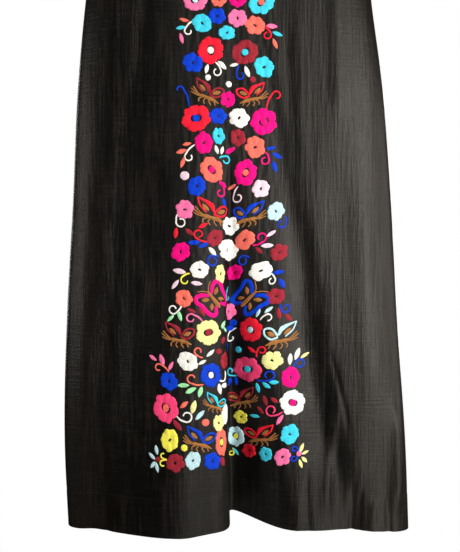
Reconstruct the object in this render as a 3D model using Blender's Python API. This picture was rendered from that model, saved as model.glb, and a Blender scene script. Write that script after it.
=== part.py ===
"""A long black cotton dress, open at the neck, arms and hem, hung on a plain wooden hanger.

The script works in metres, +Z up. Someone who looks at the front has +X to the right and +Y
ahead of them, through the dress. The origin is where a rail carries the hanger: the inside of
its hook, at the top. Sizes below are millimetres, and heights are measured up from the hem.

The dress is two panels, a front and a back, each a wall of cloth as thick as WALL. A panel is a
grid: its rows run across the dress at one height, and its columns run up the cloth, each at a
fixed share of the cloth between the middle of the panel and its side seam.
"""
import functools
import math

import bmesh
import bpy
import numpy as np

MM = 0.001

# The hanger, from the rail down
HOOK_RADIUS = 20.0
WIRE = 3.6
HOOK_DROP = 64.0
HOOK_SHANK = 20.0
HOOK_STEM = 16.0
HOOK_BEND = 14.0
HOOK_START_ANGLE = -38.0
HOOK_SWEEP_ANGLE = 238.0
SHANK_CLEARANCE = 0.3
BORE_SPARE = 2.0
BAR_THICK = 14.0
BAR_TALL = 24.0
BAR_HALF = 184.0
BAR_STATIONS = 33
BAR_AROUND = 16
BAR_END = 0.98
HOOK_SHANK_POINTS = 7
HOOK_BEND_POINTS = 9
HOOK_ARC_POINTS = 25
HOOK_BEND_TRIM = 0.1

# The dress
LENGTH = 1360.0
WALL = 1.2
SEAM_GAP = 0.3
NECK_HALF = 88.0
SHOULDER_HALF = 192.0
SHOULDER_FALL = 40.0
RIDGE_ROUNDING = 30.0
FRONT_NECK_DROP = 105.0
BACK_NECK_DROP = 28.0
ARMHOLE_BASE = 1112.0
ARMHOLE_SWEEP = 150.0
ARMHOLE_CURVE = 3.0
ARMHOLE_HOLLOW = 9.0
ARMHOLE_PARTING = 100.0
EVEN_RISE = 90.0
SEAT_CLEARANCE = 0.6
RIDGE_RADIUS = BAR_THICK / 2 + SEAT_CLEARANCE + WALL
RIDGE_BLEND = 180.0
CLOTH_STEPS = 601
CLOTH_EDGE_ANGLE = 50.0
WOOD_EDGE_ANGLE = 40.0

# Sections of the body, from the hem up: where the two side seams are, how far the front and
# the back stand off the line between them, how far from a seam the cloth begins to turn
# towards the other panel, and how far behind the hanger each seam lies.
SECTION_COLUMNS = ("height", "left", "right", "belly", "seat", "turn", "left_y", "right_y")
SECTIONS = (
    (0.0, -275.0, 299.0, 19.0, 48.0, 36.0, 8.0, -5.0),
    (130.0, -281.0, 295.0, 20.0, 44.0, 42.0, 7.0, -4.0),
    (350.0, -277.0, 281.0, 22.0, 36.0, 54.0, 5.0, -3.0),
    (550.0, -266.0, 271.0, 24.0, 30.0, 62.0, 3.0, -2.0),
    (740.0, -257.0, 257.0, 25.0, 26.0, 70.0, 1.0, -1.0),
    (890.0, -243.0, 238.0, 25.0, 24.0, 72.0, 0.0, 0.0),
    (985.0, -231.0, 229.0, 24.0, 23.0, 66.0, 0.0, 0.0),
    (1112.0, -238.0, 238.0, 22.0, 21.0, 56.0, 0.0, 0.0),
    (1360.0, -238.0, 238.0, 20.0, 20.0, 50.0, 0.0, 0.0),
)

# Folds, at the hem: where each one's middle is, its width to the left and right, its depth
# (away from the viewer, so a fold that comes forward is negative) and how far it leans to the
# left at its deepest. A fold narrows to nothing at its top, and its middle is drawn towards
# the middle of the dress by the share "pull" on the way up.
# Columns: middle, left width, right width, depth, lean, top, pull
FRONT = -1
BACK = 1
FRONT_FOLDS = (
    (-85.0, 110.0, 60.0, -31.0, 0.0, 760.0, 0.5),
    (40.0, 35.0, 30.0, 75.0, 30.0, 640.0, 1.0),
    (195.0, 30.0, 26.0, 8.0, 0.0, 1100.0, 1.0),
    (-225.0, 26.0, 34.0, 6.0, 0.0, 1000.0, 0.4),
)
BACK_FOLDS = (
    (-222.0, 26.0, 26.0, -18.0, 0.0, 700.0, 0.3),
    (-150.0, 34.0, 34.0, 20.0, 0.0, 1000.0, 0.5),
    (-70.0, 32.0, 32.0, -20.0, 0.0, 860.0, 0.7),
    (12.0, 34.0, 40.0, 22.0, 0.0, 1060.0, 1.0),
    (98.0, 34.0, 34.0, -24.0, 0.0, 780.0, 0.7),
    (180.0, 34.0, 30.0, 20.0, 0.0, 940.0, 0.5),
    (244.0, 24.0, 22.0, -16.0, 0.0, 620.0, 0.3),
)

FOLDS = {FRONT: FRONT_FOLDS, BACK: BACK_FOLDS}

# Columns of the grids: stretches of the half cloth, in shares from -1 (left seam) to 1, with
# the number of columns in each, closest where the folds are tight and the sides turn. The
# middle ones end on the neckline, where they are spread again so that it rounds the bar.
NECK_SHARE = NECK_HALF / SHOULDER_HALF
SIDE_STRETCHES = ((NECK_SHARE, 0.93, 6), (0.93, 1.0, 4))
FRONT_MIDDLE = ((-NECK_SHARE, -0.17, 5), (-0.17, 0.30, 26), (0.30, NECK_SHARE, 4))
BACK_MIDDLE = ((-NECK_SHARE, NECK_SHARE, 16),)
FRONT_ROWS = ((0.0, 640.0, 17), (640.0, ARMHOLE_BASE, 7))
BACK_ROWS = ((0.0, 640.0, 10), (640.0, ARMHOLE_BASE, 6))
ROLL_ANGLES = (30.0, 60.0, 90.0)
# Rows above the armholes' base, as shares of the way up to the panel's top edge
UPPER_ROWS = (0.02, 0.08, 0.2, 0.38, 0.58, 0.76, 0.88, 0.955, 0.978, 0.994, 1.0)


def smooth(share):
    """An S-shaped step from 0 to 1."""
    share = np.clip(share, 0.0, 1.0)
    return share * share * (3.0 - 2.0 * share)


@functools.lru_cache(maxsize=None)
def section(column, height):
    """A column of SECTIONS at a height, on a smooth curve through the rows."""
    heights = np.array([row[0] for row in SECTIONS])
    values = np.array([row[SECTION_COLUMNS.index(column)] for row in SECTIONS])
    slopes = np.gradient(values, heights)
    low = int(np.clip(np.searchsorted(heights, height) - 1, 0, len(heights) - 2))
    span = heights[low + 1] - heights[low]
    t = min(max((height - heights[low]) / span, 0.0), 1.0)
    rise = values[low + 1] - values[low]
    ease = smooth(t)
    start = t * (1.0 - t) ** 2 * span * slopes[low]
    end = t * t * (t - 1.0) * span * slopes[low + 1]
    return values[low] + rise * ease + start + end


def ridge(x):
    """Height of the shoulder line, and of the bar's line between the shoulders."""
    fall = SHOULDER_FALL / (SHOULDER_HALF - NECK_HALF)
    from_neck = np.hypot(x, RIDGE_ROUNDING) - math.hypot(NECK_HALF, RIDGE_ROUNDING)
    return LENGTH - fall * from_neck


HEM_Z = -(HOOK_DROP + float(ridge(0.0)) - WALL - SEAT_CLEARANCE)


def top_edge(share, neck_drop):
    """Height at which a column of a panel ends, on the neckline or the shoulder."""
    x = share * SHOULDER_HALF
    if abs(x) < NECK_HALF:
        return LENGTH - neck_drop * math.sqrt(1.0 - (x / NECK_HALF) ** 2)
    return float(ridge(x))


def half_widths(height):
    """The x of a panel's left and right edges: side seams, then armholes."""
    left = section("left", height)
    right = section("right", height)
    if height <= ARMHOLE_BASE:
        return left, right
    way = min((height - ARMHOLE_BASE) / ARMHOLE_SWEEP, 1.0)
    kept = (1.0 - way) ** ARMHOLE_CURVE
    up = (height - ARMHOLE_BASE) / (float(ridge(SHOULDER_HALF)) - ARMHOLE_BASE)
    straight = SHOULDER_HALF - ARMHOLE_HOLLOW * math.sin(math.pi * min(up, 1.0))
    return tuple(math.copysign(straight + (abs(x) - straight) * kept, x) for x in (left, right))


def plan(side, x_flat, height):
    """Where the cloth that would lie at x_flat if it were flat is, seen from above."""
    left, right = half_widths(height)
    turn = section("turn", height)
    edge = np.minimum(x_flat - left, right - x_flat)
    edge = edge + turn * smooth((height - ARMHOLE_BASE) / ARMHOLE_PARTING)
    turned = 1.0 - np.clip(edge / turn, 0.0, 1.0)
    crown = np.sqrt(1.0 - turned ** 2)

    below = np.maximum(ridge(x_flat) - height, 0.0)
    body = section("belly" if side == FRONT else "seat", height)
    stand_off = RIDGE_RADIUS + (body - RIDGE_RADIUS) * smooth(below / RIDGE_BLEND)
    over_bar = np.sqrt(1.0 - (1.0 - np.clip(below / RIDGE_RADIUS, 0.0, 1.0)) ** 2)

    across = (x_flat - left) / (right - left)
    seam_y = section("left_y", height) * (1.0 - across) + section("right_y", height) * across
    x = np.array(x_flat, dtype=float)
    y = seam_y + side * (stand_off * crown * over_bar + SEAM_GAP / 2)
    for middle, left_width, right_width, depth, lean, top, pull in FOLDS[side]:
        size = max(1.0 - height / top, 0.0)
        if size == 0.0:
            continue
        from_middle = x_flat - middle * (1.0 - pull * (1.0 - size))
        width = np.where(from_middle < 0.0, left_width, right_width) * math.sqrt(size)
        bump = np.exp(-(from_middle / width) ** 2) * size * crown
        x = x - lean * bump
        y = y + depth * bump
    return x, y


@functools.lru_cache(maxsize=4096)
def cloth_lengths(side, height):
    """Flat places across a panel at a height, and the cloth's length from its middle to each."""
    left, right = half_widths(height)
    turns = np.linspace(-math.pi / 2, math.pi / 2, CLOTH_STEPS)
    x_flat = (left + right) / 2 + (right - left) / 2 * np.sin(turns)
    x, y = plan(side, x_flat, height)
    along = np.concatenate(([0.0], np.cumsum(np.hypot(np.diff(x), np.diff(y)))))
    return x_flat, along - along[len(turns) // 2]


def flat_place(side, share, height):
    """The flat x of a column: a share of the cloth between the panel's middle and its edge."""
    x_flat, along = cloth_lengths(side, height)
    reach = along[-1] if share > 0.0 else -along[0]
    by_cloth = float(np.interp(share * reach, along, x_flat))
    evenly = (x_flat[0] * (1.0 - share) + x_flat[-1] * (1.0 + share)) / 2
    blend = float(smooth((height - ARMHOLE_BASE) / EVEN_RISE))
    return by_cloth + (evenly - by_cloth) * blend


def cloth_point(side, share, height):
    """A point of a panel's outer surface."""
    x, y = plan(side, flat_place(side, share, height), height)
    return np.array((float(x), float(y), height))


def cloth_normal(side, share, height):
    """The outward direction of a panel's outer surface."""
    step = 0.00002
    rise = 0.02
    across = (cloth_point(side, min(share + step, 1.0), height)
              - cloth_point(side, max(share - step, -1.0), height))
    up = cloth_point(side, share, height) - cloth_point(side, share, height - rise)
    normal = np.cross(across, up)
    return normal / np.linalg.norm(normal) * -side


def stretches(rows):
    """Evenly spaced values over each stretch of a table of (from, to, how many)."""
    values = [rows[0][0]]
    for start, end, count in rows:
        values.extend(start + (end - start) * (i + 1) / count for i in range(count))
    return values


def neckline_shares(count, neck_drop):
    """Shares at which that many columns, less one, end on the neckline, left to right."""
    on_bar = [RIDGE_RADIUS * (1.0 - math.cos(math.radians(a))) for a in ROLL_ANGLES]
    start = [0.0] + [math.asin(drop / neck_drop) for drop in on_bar]
    between = count - 2 * len(on_bar)
    free = [start[-1] + (math.pi - 2 * start[-1]) * i / between for i in range(1, between)]
    angles = start + free + [math.pi - angle for angle in reversed(start)]
    return [-NECK_SHARE * math.cos(angle) for angle in angles]


def column_shares(middle, neck_drop):
    """Each column's share low down and at the panel's top edge."""
    right = stretches(SIDE_STRETCHES)
    left = [-share for share in reversed(right)]
    inside = stretches(middle)
    neck = neckline_shares(len(inside) - 1, neck_drop)
    return list(zip(left[:-1] + inside + right[1:], left[:-1] + neck + right[1:]))


def add_object(name, mesh, material):
    """Link a mesh to the scene as one named piece with its own material."""
    piece = bpy.data.objects.new(name, mesh)
    bpy.context.collection.objects.link(piece)
    mesh.materials.append(material)
    return piece


def make_material(name, colour, roughness, metallic=0.0):
    """A plain Principled material."""
    material = bpy.data.materials.new(name)
    material.use_nodes = True
    shader = material.node_tree.nodes["Principled BSDF"]
    shader.inputs["Base Color"].default_value = (*colour, 1.0)
    shader.inputs["Roughness"].default_value = roughness
    shader.inputs["Metallic"].default_value = metallic
    return material


def panel(name, side, neck_drop, middle, rows, material):
    """One panel of the dress: a grid of cloth, given its thickness on the inside."""
    shares = column_shares(middle, neck_drop)
    places = [(height, 0.0) for height in stretches(rows)]
    places += [(ARMHOLE_BASE, way) for way in UPPER_ROWS]
    bm = bmesh.new()
    outer = []
    inner = []
    for start, way in places:
        outer_row = []
        inner_row = []
        for low_share, top_share in shares:
            share = low_share + (top_share - low_share) * float(smooth(way))
            height = start + way * (top_edge(top_share, neck_drop) - start)
            point = cloth_point(side, share, height)
            under = point - WALL * cloth_normal(side, share, height)
            for found, kept in ((point, outer_row), (under, inner_row)):
                kept.append(bm.verts.new((found[0] * MM, found[1] * MM, (found[2] + HEM_Z) * MM)))
        outer.append(outer_row)
        inner.append(inner_row)

    def two_triangles(a, b, c, d):
        """Both walls and the rims are split the same way, so the walls never cross."""
        bm.faces.new((a, b, c))
        bm.faces.new((a, c, d))

    last_row = len(outer) - 1
    last_column = len(shares) - 1
    for i in range(last_row):
        for j in range(last_column):
            two_triangles(outer[i][j], outer[i][j + 1], outer[i + 1][j + 1], outer[i + 1][j])
            bm.faces.new((inner[i][j], inner[i + 1][j + 1], inner[i][j + 1]))
            bm.faces.new((inner[i][j], inner[i + 1][j], inner[i + 1][j + 1]))
        for j, k in ((0, last_column), (last_column, 0)):
            if j == 0:
                two_triangles(outer[i][j], outer[i + 1][j], inner[i + 1][j], inner[i][j])
            else:
                two_triangles(outer[i][j], inner[i][j], inner[i + 1][j], outer[i + 1][j])
    for j in range(last_column):
        two_triangles(outer[0][j], inner[0][j], inner[0][j + 1], outer[0][j + 1])
        two_triangles(outer[last_row][j], outer[last_row][j + 1],
                      inner[last_row][j + 1], inner[last_row][j])
    if side == BACK:
        bmesh.ops.reverse_faces(bm, faces=bm.faces)
    mesh = bpy.data.meshes.new(name)
    bm.to_mesh(mesh)
    bm.free()
    mesh.shade_smooth()
    mesh.set_sharp_from_angle(angle=math.radians(CLOTH_EDGE_ANGLE))
    return add_object(name, mesh, material)


def hanger_bar(material):
    """The wooden shoulders: a stadium-shaped section swept from end to end, bored for the hook."""
    radius = BAR_THICK / 2
    straight = BAR_TALL / 2 - radius
    bm = bmesh.new()
    rings = []
    for i in range(BAR_STATIONS):
        x = BAR_HALF * math.sin(math.pi * (i / (BAR_STATIONS - 1) - 0.5))
        past_straight = min(max((abs(x) - BAR_HALF + radius) / radius, 0.0), BAR_END)
        thickness = math.sqrt(1.0 - past_straight ** 2)
        tallness = (1.0 + thickness) / 2
        middle = float(ridge(x)) - WALL - SEAT_CLEARANCE + HEM_Z - BAR_TALL / 2
        ring = []
        for k in range(BAR_AROUND):
            angle = 2.0 * math.pi * (k + 0.5) / BAR_AROUND
            y = radius * thickness * math.cos(angle)
            rise = math.copysign(straight, math.sin(angle)) + radius * math.sin(angle)
            ring.append(bm.verts.new((x * MM, y * MM, (middle + rise * tallness) * MM)))
        rings.append(ring)
    for first, second in zip(rings, rings[1:]):
        for k in range(BAR_AROUND):
            after = (k + 1) % BAR_AROUND
            bm.faces.new((first[k], second[k], second[after], first[after]))
    bm.faces.new(rings[0])
    bm.faces.new(list(reversed(rings[-1])))
    bmesh.ops.recalc_face_normals(bm, faces=bm.faces)
    mesh = bpy.data.meshes.new("hanger_bar")
    bm.to_mesh(mesh)
    bm.free()
    mesh.shade_smooth()
    mesh.set_sharp_from_angle(angle=math.radians(WOOD_EDGE_ANGLE))
    bar = add_object("hanger_bar", mesh, material)

    bpy.ops.object.select_all(action="DESELECT")
    bpy.ops.mesh.primitive_cylinder_add(
        vertices=16,
        radius=(WIRE / 2 + SHANK_CLEARANCE) * MM,
        depth=2.0 * (HOOK_SHANK + BORE_SPARE) * MM,
        location=(0.0, 0.0, -HOOK_DROP * MM),
    )
    drill = bpy.context.active_object
    drill.name = "shank_drill"
    drill.hide_render = True
    drill.display_type = "WIRE"
    bore = bar.modifiers.new("Shank bore", "BOOLEAN")
    bore.object = drill
    bore.operation = "DIFFERENCE"
    bore.solver = "EXACT"
    return bar


def hook_path():
    """The wire's middle line: up out of the wood, out to the right, and over to the left."""
    centre = -(HOOK_RADIUS - WIRE / 2)
    start = math.radians(HOOK_START_ANGLE)
    sweep = math.radians(HOOK_SWEEP_ANGLE)
    out = (HOOK_RADIUS * math.cos(start), centre + HOOK_RADIUS * math.sin(start))
    stem_top = (0.0, -HOOK_DROP + HOOK_STEM)
    above_stem = (0.0, stem_top[1] + HOOK_BEND)
    below_out = (out[0] + HOOK_BEND * math.sin(start), out[1] - HOOK_BEND * math.cos(start))
    corners = (stem_top, above_stem, below_out, out)

    shank = HOOK_SHANK + HOOK_STEM
    stem = [(0.0, stem_top[1] - shank * (1.0 - t)) for t in np.linspace(0, 1, HOOK_SHANK_POINTS)]
    bend = []
    for t in np.linspace(HOOK_BEND_TRIM, 1.0 - HOOK_BEND_TRIM, HOOK_BEND_POINTS):
        weights = ((1 - t) ** 3, 3 * t * (1 - t) ** 2, 3 * t * t * (1 - t), t ** 3)
        bend.append(tuple(sum(w * c[k] for w, c in zip(weights, corners)) for k in (0, 1)))
    angles = start + sweep * np.linspace(0, 1, HOOK_ARC_POINTS)
    hook = [(HOOK_RADIUS * math.cos(a), centre + HOOK_RADIUS * math.sin(a)) for a in angles]
    return stem + bend + hook


def hanger_hook(material):
    """The steel hook, a bent wire with its shank in the wood."""
    curve = bpy.data.curves.new("hanger_hook", "CURVE")
    curve.dimensions = "3D"
    curve.bevel_depth = WIRE / 2 * MM
    curve.bevel_resolution = 2
    curve.use_fill_caps = True
    points = hook_path()
    spline = curve.splines.new("POLY")
    spline.points.add(len(points) - 1)
    for place, (x, z) in zip(spline.points, points):
        place.co = (x * MM, 0.0, z * MM, 1.0)
    hook = bpy.data.objects.new("hanger_hook", curve)
    bpy.context.collection.objects.link(hook)
    curve.materials.append(material)
    return hook


def main():
    for old in list(bpy.data.objects):
        bpy.data.objects.remove(old)
    cotton = make_material("black cotton, front", (0.022, 0.020, 0.018), 0.82)
    cotton_back = make_material("black cotton, back", (0.020, 0.018, 0.017), 0.82)
    wood = make_material("beech", (0.52, 0.34, 0.19), 0.45)
    steel = make_material("plated steel wire", (0.62, 0.62, 0.60), 0.25, 1.0)
    panel("front", FRONT, FRONT_NECK_DROP, FRONT_MIDDLE, FRONT_ROWS, cotton)
    panel("back", BACK, BACK_NECK_DROP, BACK_MIDDLE, BACK_ROWS, cotton_back)
    hanger_bar(wood)
    hanger_hook(steel)


main()
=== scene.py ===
"""A long black cotton dress with an embroidered front, hung on a plain wooden hanger.

Cloth sizes are in millimetres, up from the hem, as in the maker's pattern. The embroidery is set
out flat on a chart, laid on the cloth, and joined into one piece for each colour of thread.
"""
import math

import bpy
import numpy as np
from mathutils import Matrix, Vector
from mathutils.bvhtree import BVHTree


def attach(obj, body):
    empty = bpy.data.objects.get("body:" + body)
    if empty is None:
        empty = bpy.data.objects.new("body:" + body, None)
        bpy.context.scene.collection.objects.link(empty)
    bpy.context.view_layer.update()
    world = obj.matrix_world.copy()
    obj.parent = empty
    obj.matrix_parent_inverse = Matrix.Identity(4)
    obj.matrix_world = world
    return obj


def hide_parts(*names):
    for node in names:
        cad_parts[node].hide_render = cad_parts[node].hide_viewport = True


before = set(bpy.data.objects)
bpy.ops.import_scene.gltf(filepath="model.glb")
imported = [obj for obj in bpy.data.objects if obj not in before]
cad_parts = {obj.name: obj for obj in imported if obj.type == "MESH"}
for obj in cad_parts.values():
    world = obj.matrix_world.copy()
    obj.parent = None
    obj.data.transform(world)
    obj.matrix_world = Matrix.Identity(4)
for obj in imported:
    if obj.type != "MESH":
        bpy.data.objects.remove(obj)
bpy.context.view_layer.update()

MM = 0.001
FRONT = -1
BACK = 1

# The dress
LENGTH = 1360.0
NECK_HALF = 88.0
SHOULDER_HALF = 192.0
SHOULDER_FALL = 40.0
RIDGE_ROUNDING = 30.0
NECK_DROP = {FRONT: 105.0, BACK: 28.0}
ARMHOLE_BASE = 1112.0
ARMHOLE_SWEEP = 150.0
ARMHOLE_CURVE = 3.0
ARMHOLE_HOLLOW = 9.0
ARMHOLE_PARTING = 100.0
EVEN_RISE = 90.0
CAD_WALL = 1.2
SEAT_CLEARANCE = 0.6
BAR_THICK = 14.0
HOOK_DROP = 64.0
RIDGE_RADIUS = BAR_THICK / 2 + SEAT_CLEARANCE + CAD_WALL
RIDGE_BLEND = 180.0

# The cloth itself, and its hem, which is turned up inside and stitched
CLOTH = 0.9
HEM_CLOTH = 1.5
HEM_TURN = 60.0

# Sections of the body, from the hem up: the side seams, how far the front and the back stand off
# the line between them, how far from a seam the cloth turns, and how far back each seam lies
SECTION_COLUMNS = ("height", "left", "right", "belly", "seat", "turn", "left_y", "right_y")
SECTIONS = np.array((
    (0.0, -275.0, 299.0, 19.0, 48.0, 36.0, 8.0, -5.0),
    (130.0, -281.0, 295.0, 20.0, 44.0, 42.0, 7.0, -4.0),
    (350.0, -277.0, 281.0, 22.0, 36.0, 54.0, 5.0, -3.0),
    (550.0, -266.0, 271.0, 24.0, 30.0, 62.0, 3.0, -2.0),
    (740.0, -257.0, 257.0, 25.0, 26.0, 70.0, 1.0, -1.0),
    (890.0, -243.0, 238.0, 25.0, 24.0, 72.0, 0.0, 0.0),
    (985.0, -231.0, 229.0, 24.0, 23.0, 66.0, 0.0, 0.0),
    (1112.0, -238.0, 238.0, 22.0, 21.0, 56.0, 0.0, 0.0),
    (1360.0, -238.0, 238.0, 20.0, 20.0, 50.0, 0.0, 0.0),
))

# Folds at the hem: middle, left width, right width, depth away from the viewer, lean to the
# left at the deepest, top, and the share by which the middle is drawn in on the way up
FOLDS = {
    FRONT: (
        (-85.0, 110.0, 60.0, -31.0, 0.0, 760.0, 0.5),
        (46.0, 31.0, 29.0, 75.0, 42.0, 640.0, 1.0),
        (195.0, 30.0, 26.0, 8.0, 0.0, 1100.0, 1.0),
        (-225.0, 26.0, 34.0, 6.0, 0.0, 1000.0, 0.4),
    ),
    BACK: (
        (-222.0, 26.0, 26.0, -18.0, 0.0, 700.0, 0.3),
        (-150.0, 34.0, 34.0, 20.0, 0.0, 1000.0, 0.5),
        (-70.0, 32.0, 32.0, -20.0, 0.0, 860.0, 0.7),
        (12.0, 34.0, 40.0, 22.0, 0.0, 1060.0, 1.0),
        (98.0, 34.0, 34.0, -24.0, 0.0, 780.0, 0.7),
        (180.0, 34.0, 30.0, 20.0, 0.0, 940.0, 0.5),
        (244.0, 24.0, 22.0, -16.0, 0.0, 620.0, 0.3),
    ),
}

# Creases in the cloth, each from its lower end to its upper end across the panel: x and height
# of both, how far it bows to the right, its widths to the left and right of its middle, and how
# far it stands out (in, if below 0)
CREASES = {
    FRONT: (
        (178.0, 60.0, 104.0, 430.0, -8.0, 42.0, 20.0, -6.0),
        (200.0, 140.0, 160.0, 310.0, 4.0, 4.0, 3.0, -1.3),
        (232.0, 120.0, 205.0, 640.0, 6.0, 22.0, 18.0, 2.6),
        (160.0, 0.0, 182.0, 250.0, -5.0, 9.0, 9.0, 3.0),
        (276.0, 20.0, 283.0, 235.0, 3.0, 14.0, 8.0, 8.5),
        (201.0, -20.0, 203.0, 84.0, 2.0, 6.0, 4.0, -3.8),
        (214.0, -10.0, 217.0, 74.0, -2.0, 5.0, 4.0, -3.0),
        (262.0, -20.0, 258.0, 80.0, 2.0, 7.0, 4.0, -2.6),
        (236.0, -10.0, 240.0, 58.0, -2.0, 7.0, 5.0, 1.8),
        (108.0, -20.0, 112.0, 90.0, 3.0, 6.0, 6.0, 1.4),
        (132.0, -20.0, 130.0, 120.0, -3.0, 5.0, 5.0, -1.3),
        (-242.0, 60.0, -222.0, 700.0, -8.0, 14.0, 14.0, 1.6),
        (-196.0, 120.0, -180.0, 640.0, 6.0, 14.0, 14.0, -0.5),
        (-168.0, 0.0, -150.0, 420.0, -6.0, 16.0, 16.0, 0.5),
        (-120.0, 0.0, -112.0, 300.0, 5.0, 14.0, 14.0, -0.5),
        (-52.0, -20.0, -66.0, 190.0, 4.0, 10.0, 10.0, -0.8),
        (-205.0, -20.0, -206.0, 70.0, 3.0, 5.0, 5.0, -1.2),
        (-20.0, 620.0, 16.0, 900.0, 8.0, 13.0, 13.0, -1.6),
        (120.0, 520.0, 96.0, 900.0, -10.0, 12.0, 12.0, -1.8),
        (176.0, 640.0, 168.0, 960.0, 4.0, 14.0, 14.0, 2.2),
        (-150.0, 680.0, -128.0, 980.0, -6.0, 13.0, 13.0, -1.8),
        (-196.0, 760.0, -178.0, 1060.0, 5.0, 12.0, 12.0, 1.8),
        (-206.0, 1080.0, -120.0, 1010.0, 8.0, 10.0, 10.0, -2.0),
        (204.0, 1084.0, 112.0, 1020.0, 6.0, 10.0, 10.0, -2.2),
        (190.0, 1010.0, 140.0, 1130.0, 4.0, 8.0, 8.0, 1.6),
    ),
    BACK: (
        (-190.0, 80.0, -128.0, 430.0, -8.0, 12.0, 12.0, -3.0),
        (-36.0, 40.0, -24.0, 380.0, 6.0, 9.0, 9.0, 2.0),
        (60.0, 90.0, 40.0, 520.0, 6.0, 10.0, 10.0, -2.4),
        (142.0, 20.0, 128.0, 330.0, -4.0, 8.0, 8.0, 2.2),
        (214.0, 60.0, 196.0, 480.0, 6.0, 10.0, 10.0, -2.4),
        (-250.0, 60.0, -232.0, 380.0, 4.0, 8.0, 8.0, 1.8),
        (-100.0, 520.0, -80.0, 960.0, 8.0, 13.0, 13.0, -1.8),
        (88.0, 560.0, 70.0, 980.0, -8.0, 12.0, 12.0, 1.8),
        (200.0, 1080.0, 110.0, 1000.0, 6.0, 10.0, 10.0, -2.0),
        (-204.0, 1078.0, -124.0, 1016.0, 6.0, 9.0, 9.0, -1.8),
        (-60.0, -20.0, -62.0, 80.0, 2.0, 5.0, 5.0, -1.4),
        (120.0, -20.0, 116.0, 70.0, -2.0, 5.0, 5.0, 1.3),
    ),
}

# Slow waves in hanging cotton: length across, length up, height, where the sway of its crests
# starts and where the wave itself starts
WAVES = (
    (64.0, 900.0, 0.16, 0.4, 0.4),
    (43.0, -620.0, 0.10, 2.1, 2.1),
    (97.0, 480.0, 0.20, 4.0, 4.0),
    (29.0, 1300.0, 0.05, 1.2, 1.2),
)
# Small puckers between the flowers, where the stitches draw the cloth in
PUCKERS = (
    (13.0, 260.0, 0.26, 0.7, 0.0),
    (9.5, -170.0, 0.18, 2.9, 0.0),
    (17.0, 120.0, 0.22, 5.1, 0.0),
)
# The puckered column: its middle, half its width, by how much it widens from one height down
# over a length, and its lower and upper ends
COLUMN_MIDDLE = -2.0
COLUMN_HALF = 90.0
COLUMN_FLARE = 42.0
COLUMN_FLARE_FROM = 470.0
COLUMN_FLARE_LENGTH = 330.0
COLUMN_FOOT = 90.0
COLUMN_TOP = 1195.0
# How far in from the column's sides, foot and top the puckers reach their full height
SIDE_FADE = 25.0
FOOT_FADE = 30.0
TOP_FADE = 50.0
# How much of a wave the crests of waves and puckers sway, and over what height
WAVE_SWAY = (0.6, 210.0)
PUCKER_SWAY = (0.8, 37.0)
# Shares of a crease's length over which it rises from its lower end and falls to its upper end
CREASE_RISE = 0.3
CREASE_FALL = 0.35
# The cloth is smoother for this far below the shoulder line and in from the side seams
QUIET_BELOW = 120.0
QUIET_BESIDE = 22.0

# The photograph's chart: one unit is 1.65 mm on the front of the dress, x to the right from
# its left edge and y down from its top edge. It is seen by this camera.
PHOTO_WIDTH = 460.0
PHOTO_HEIGHT = 552.0
CHART_UNIT = 1.65
CHART_MIDDLE = (PHOTO_WIDTH / 2, PHOTO_HEIGHT / 2)
CHART_FOCUS = 514.7
CAMERA_BACK = -0.870
CAMERA_RISE = 421.0


def smooth(share):
    """An S-shaped step from 0 to 1."""
    share = np.clip(share, 0.0, 1.0)
    return share * share * (3.0 - 2.0 * share)


def quarter_round(share):
    """A quarter of a circle that rises from 0 to 1, steep at first."""
    return np.sqrt(1.0 - (1.0 - np.clip(share, 0.0, 1.0)) ** 2)


def bell(across, left_width, right_width):
    """A bell-shaped swell, 1 in its middle, with a width of its own on each side."""
    return np.exp(-(across / np.where(across < 0.0, left_width, right_width)) ** 2)


def unit(vectors):
    """The same vectors, each of length 1."""
    return vectors / np.linalg.norm(vectors, axis=-1, keepdims=True)


def distances(points):
    """How far along a line each of its points is."""
    steps = np.linalg.norm(np.diff(points, axis=0), axis=1)
    return np.concatenate(([0.0], np.cumsum(steps)))


def on_curve(at, knots, values):
    """Values at these places, on a smooth curve through the values at the knots."""
    slopes = np.gradient(values, knots)
    at = np.clip(at, knots[0], knots[-1])
    low = np.clip(np.searchsorted(knots, at) - 1, 0, len(knots) - 2)
    span = knots[low + 1] - knots[low]
    t = (at - knots[low]) / span
    start = t * (1.0 - t) ** 2 * span * slopes[low]
    end = t * t * (t - 1.0) * span * slopes[low + 1]
    return values[low] + (values[low + 1] - values[low]) * smooth(t) + start + end


def section(column, height):
    """A column of SECTIONS at these heights."""
    return on_curve(height, SECTIONS[:, 0], SECTIONS[:, SECTION_COLUMNS.index(column)])


def ridge(x):
    """Height of the shoulder line, and of the bar's line between the shoulders."""
    fall = SHOULDER_FALL / (SHOULDER_HALF - NECK_HALF)
    return LENGTH - fall * (np.hypot(x, RIDGE_ROUNDING) - math.hypot(NECK_HALF, RIDGE_ROUNDING))


HEM_Z = -(HOOK_DROP + float(ridge(0.0)) - CAD_WALL - SEAT_CLEARANCE)


def top_edge(share, neck_drop):
    """Height at which a column of a panel ends, on the neckline or the shoulder."""
    x = share * SHOULDER_HALF
    within = np.clip(1.0 - (x / NECK_HALF) ** 2, 0.0, 1.0)
    return np.where(np.abs(x) < NECK_HALF, LENGTH - neck_drop * np.sqrt(within), ridge(x))


def half_widths(height):
    """The x of a panel's left and right edges: side seams, then armholes."""
    way = np.clip((height - ARMHOLE_BASE) / ARMHOLE_SWEEP, 0.0, 1.0)
    kept = (1.0 - way) ** ARMHOLE_CURVE
    up = np.clip((height - ARMHOLE_BASE) / (ridge(SHOULDER_HALF) - ARMHOLE_BASE), 0.0, 1.0)
    straight = SHOULDER_HALF - ARMHOLE_HOLLOW * np.sin(math.pi * up)
    left = -section("left", height)
    right = section("right", height)
    return -(straight + (left - straight) * kept), straight + (right - straight) * kept


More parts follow.
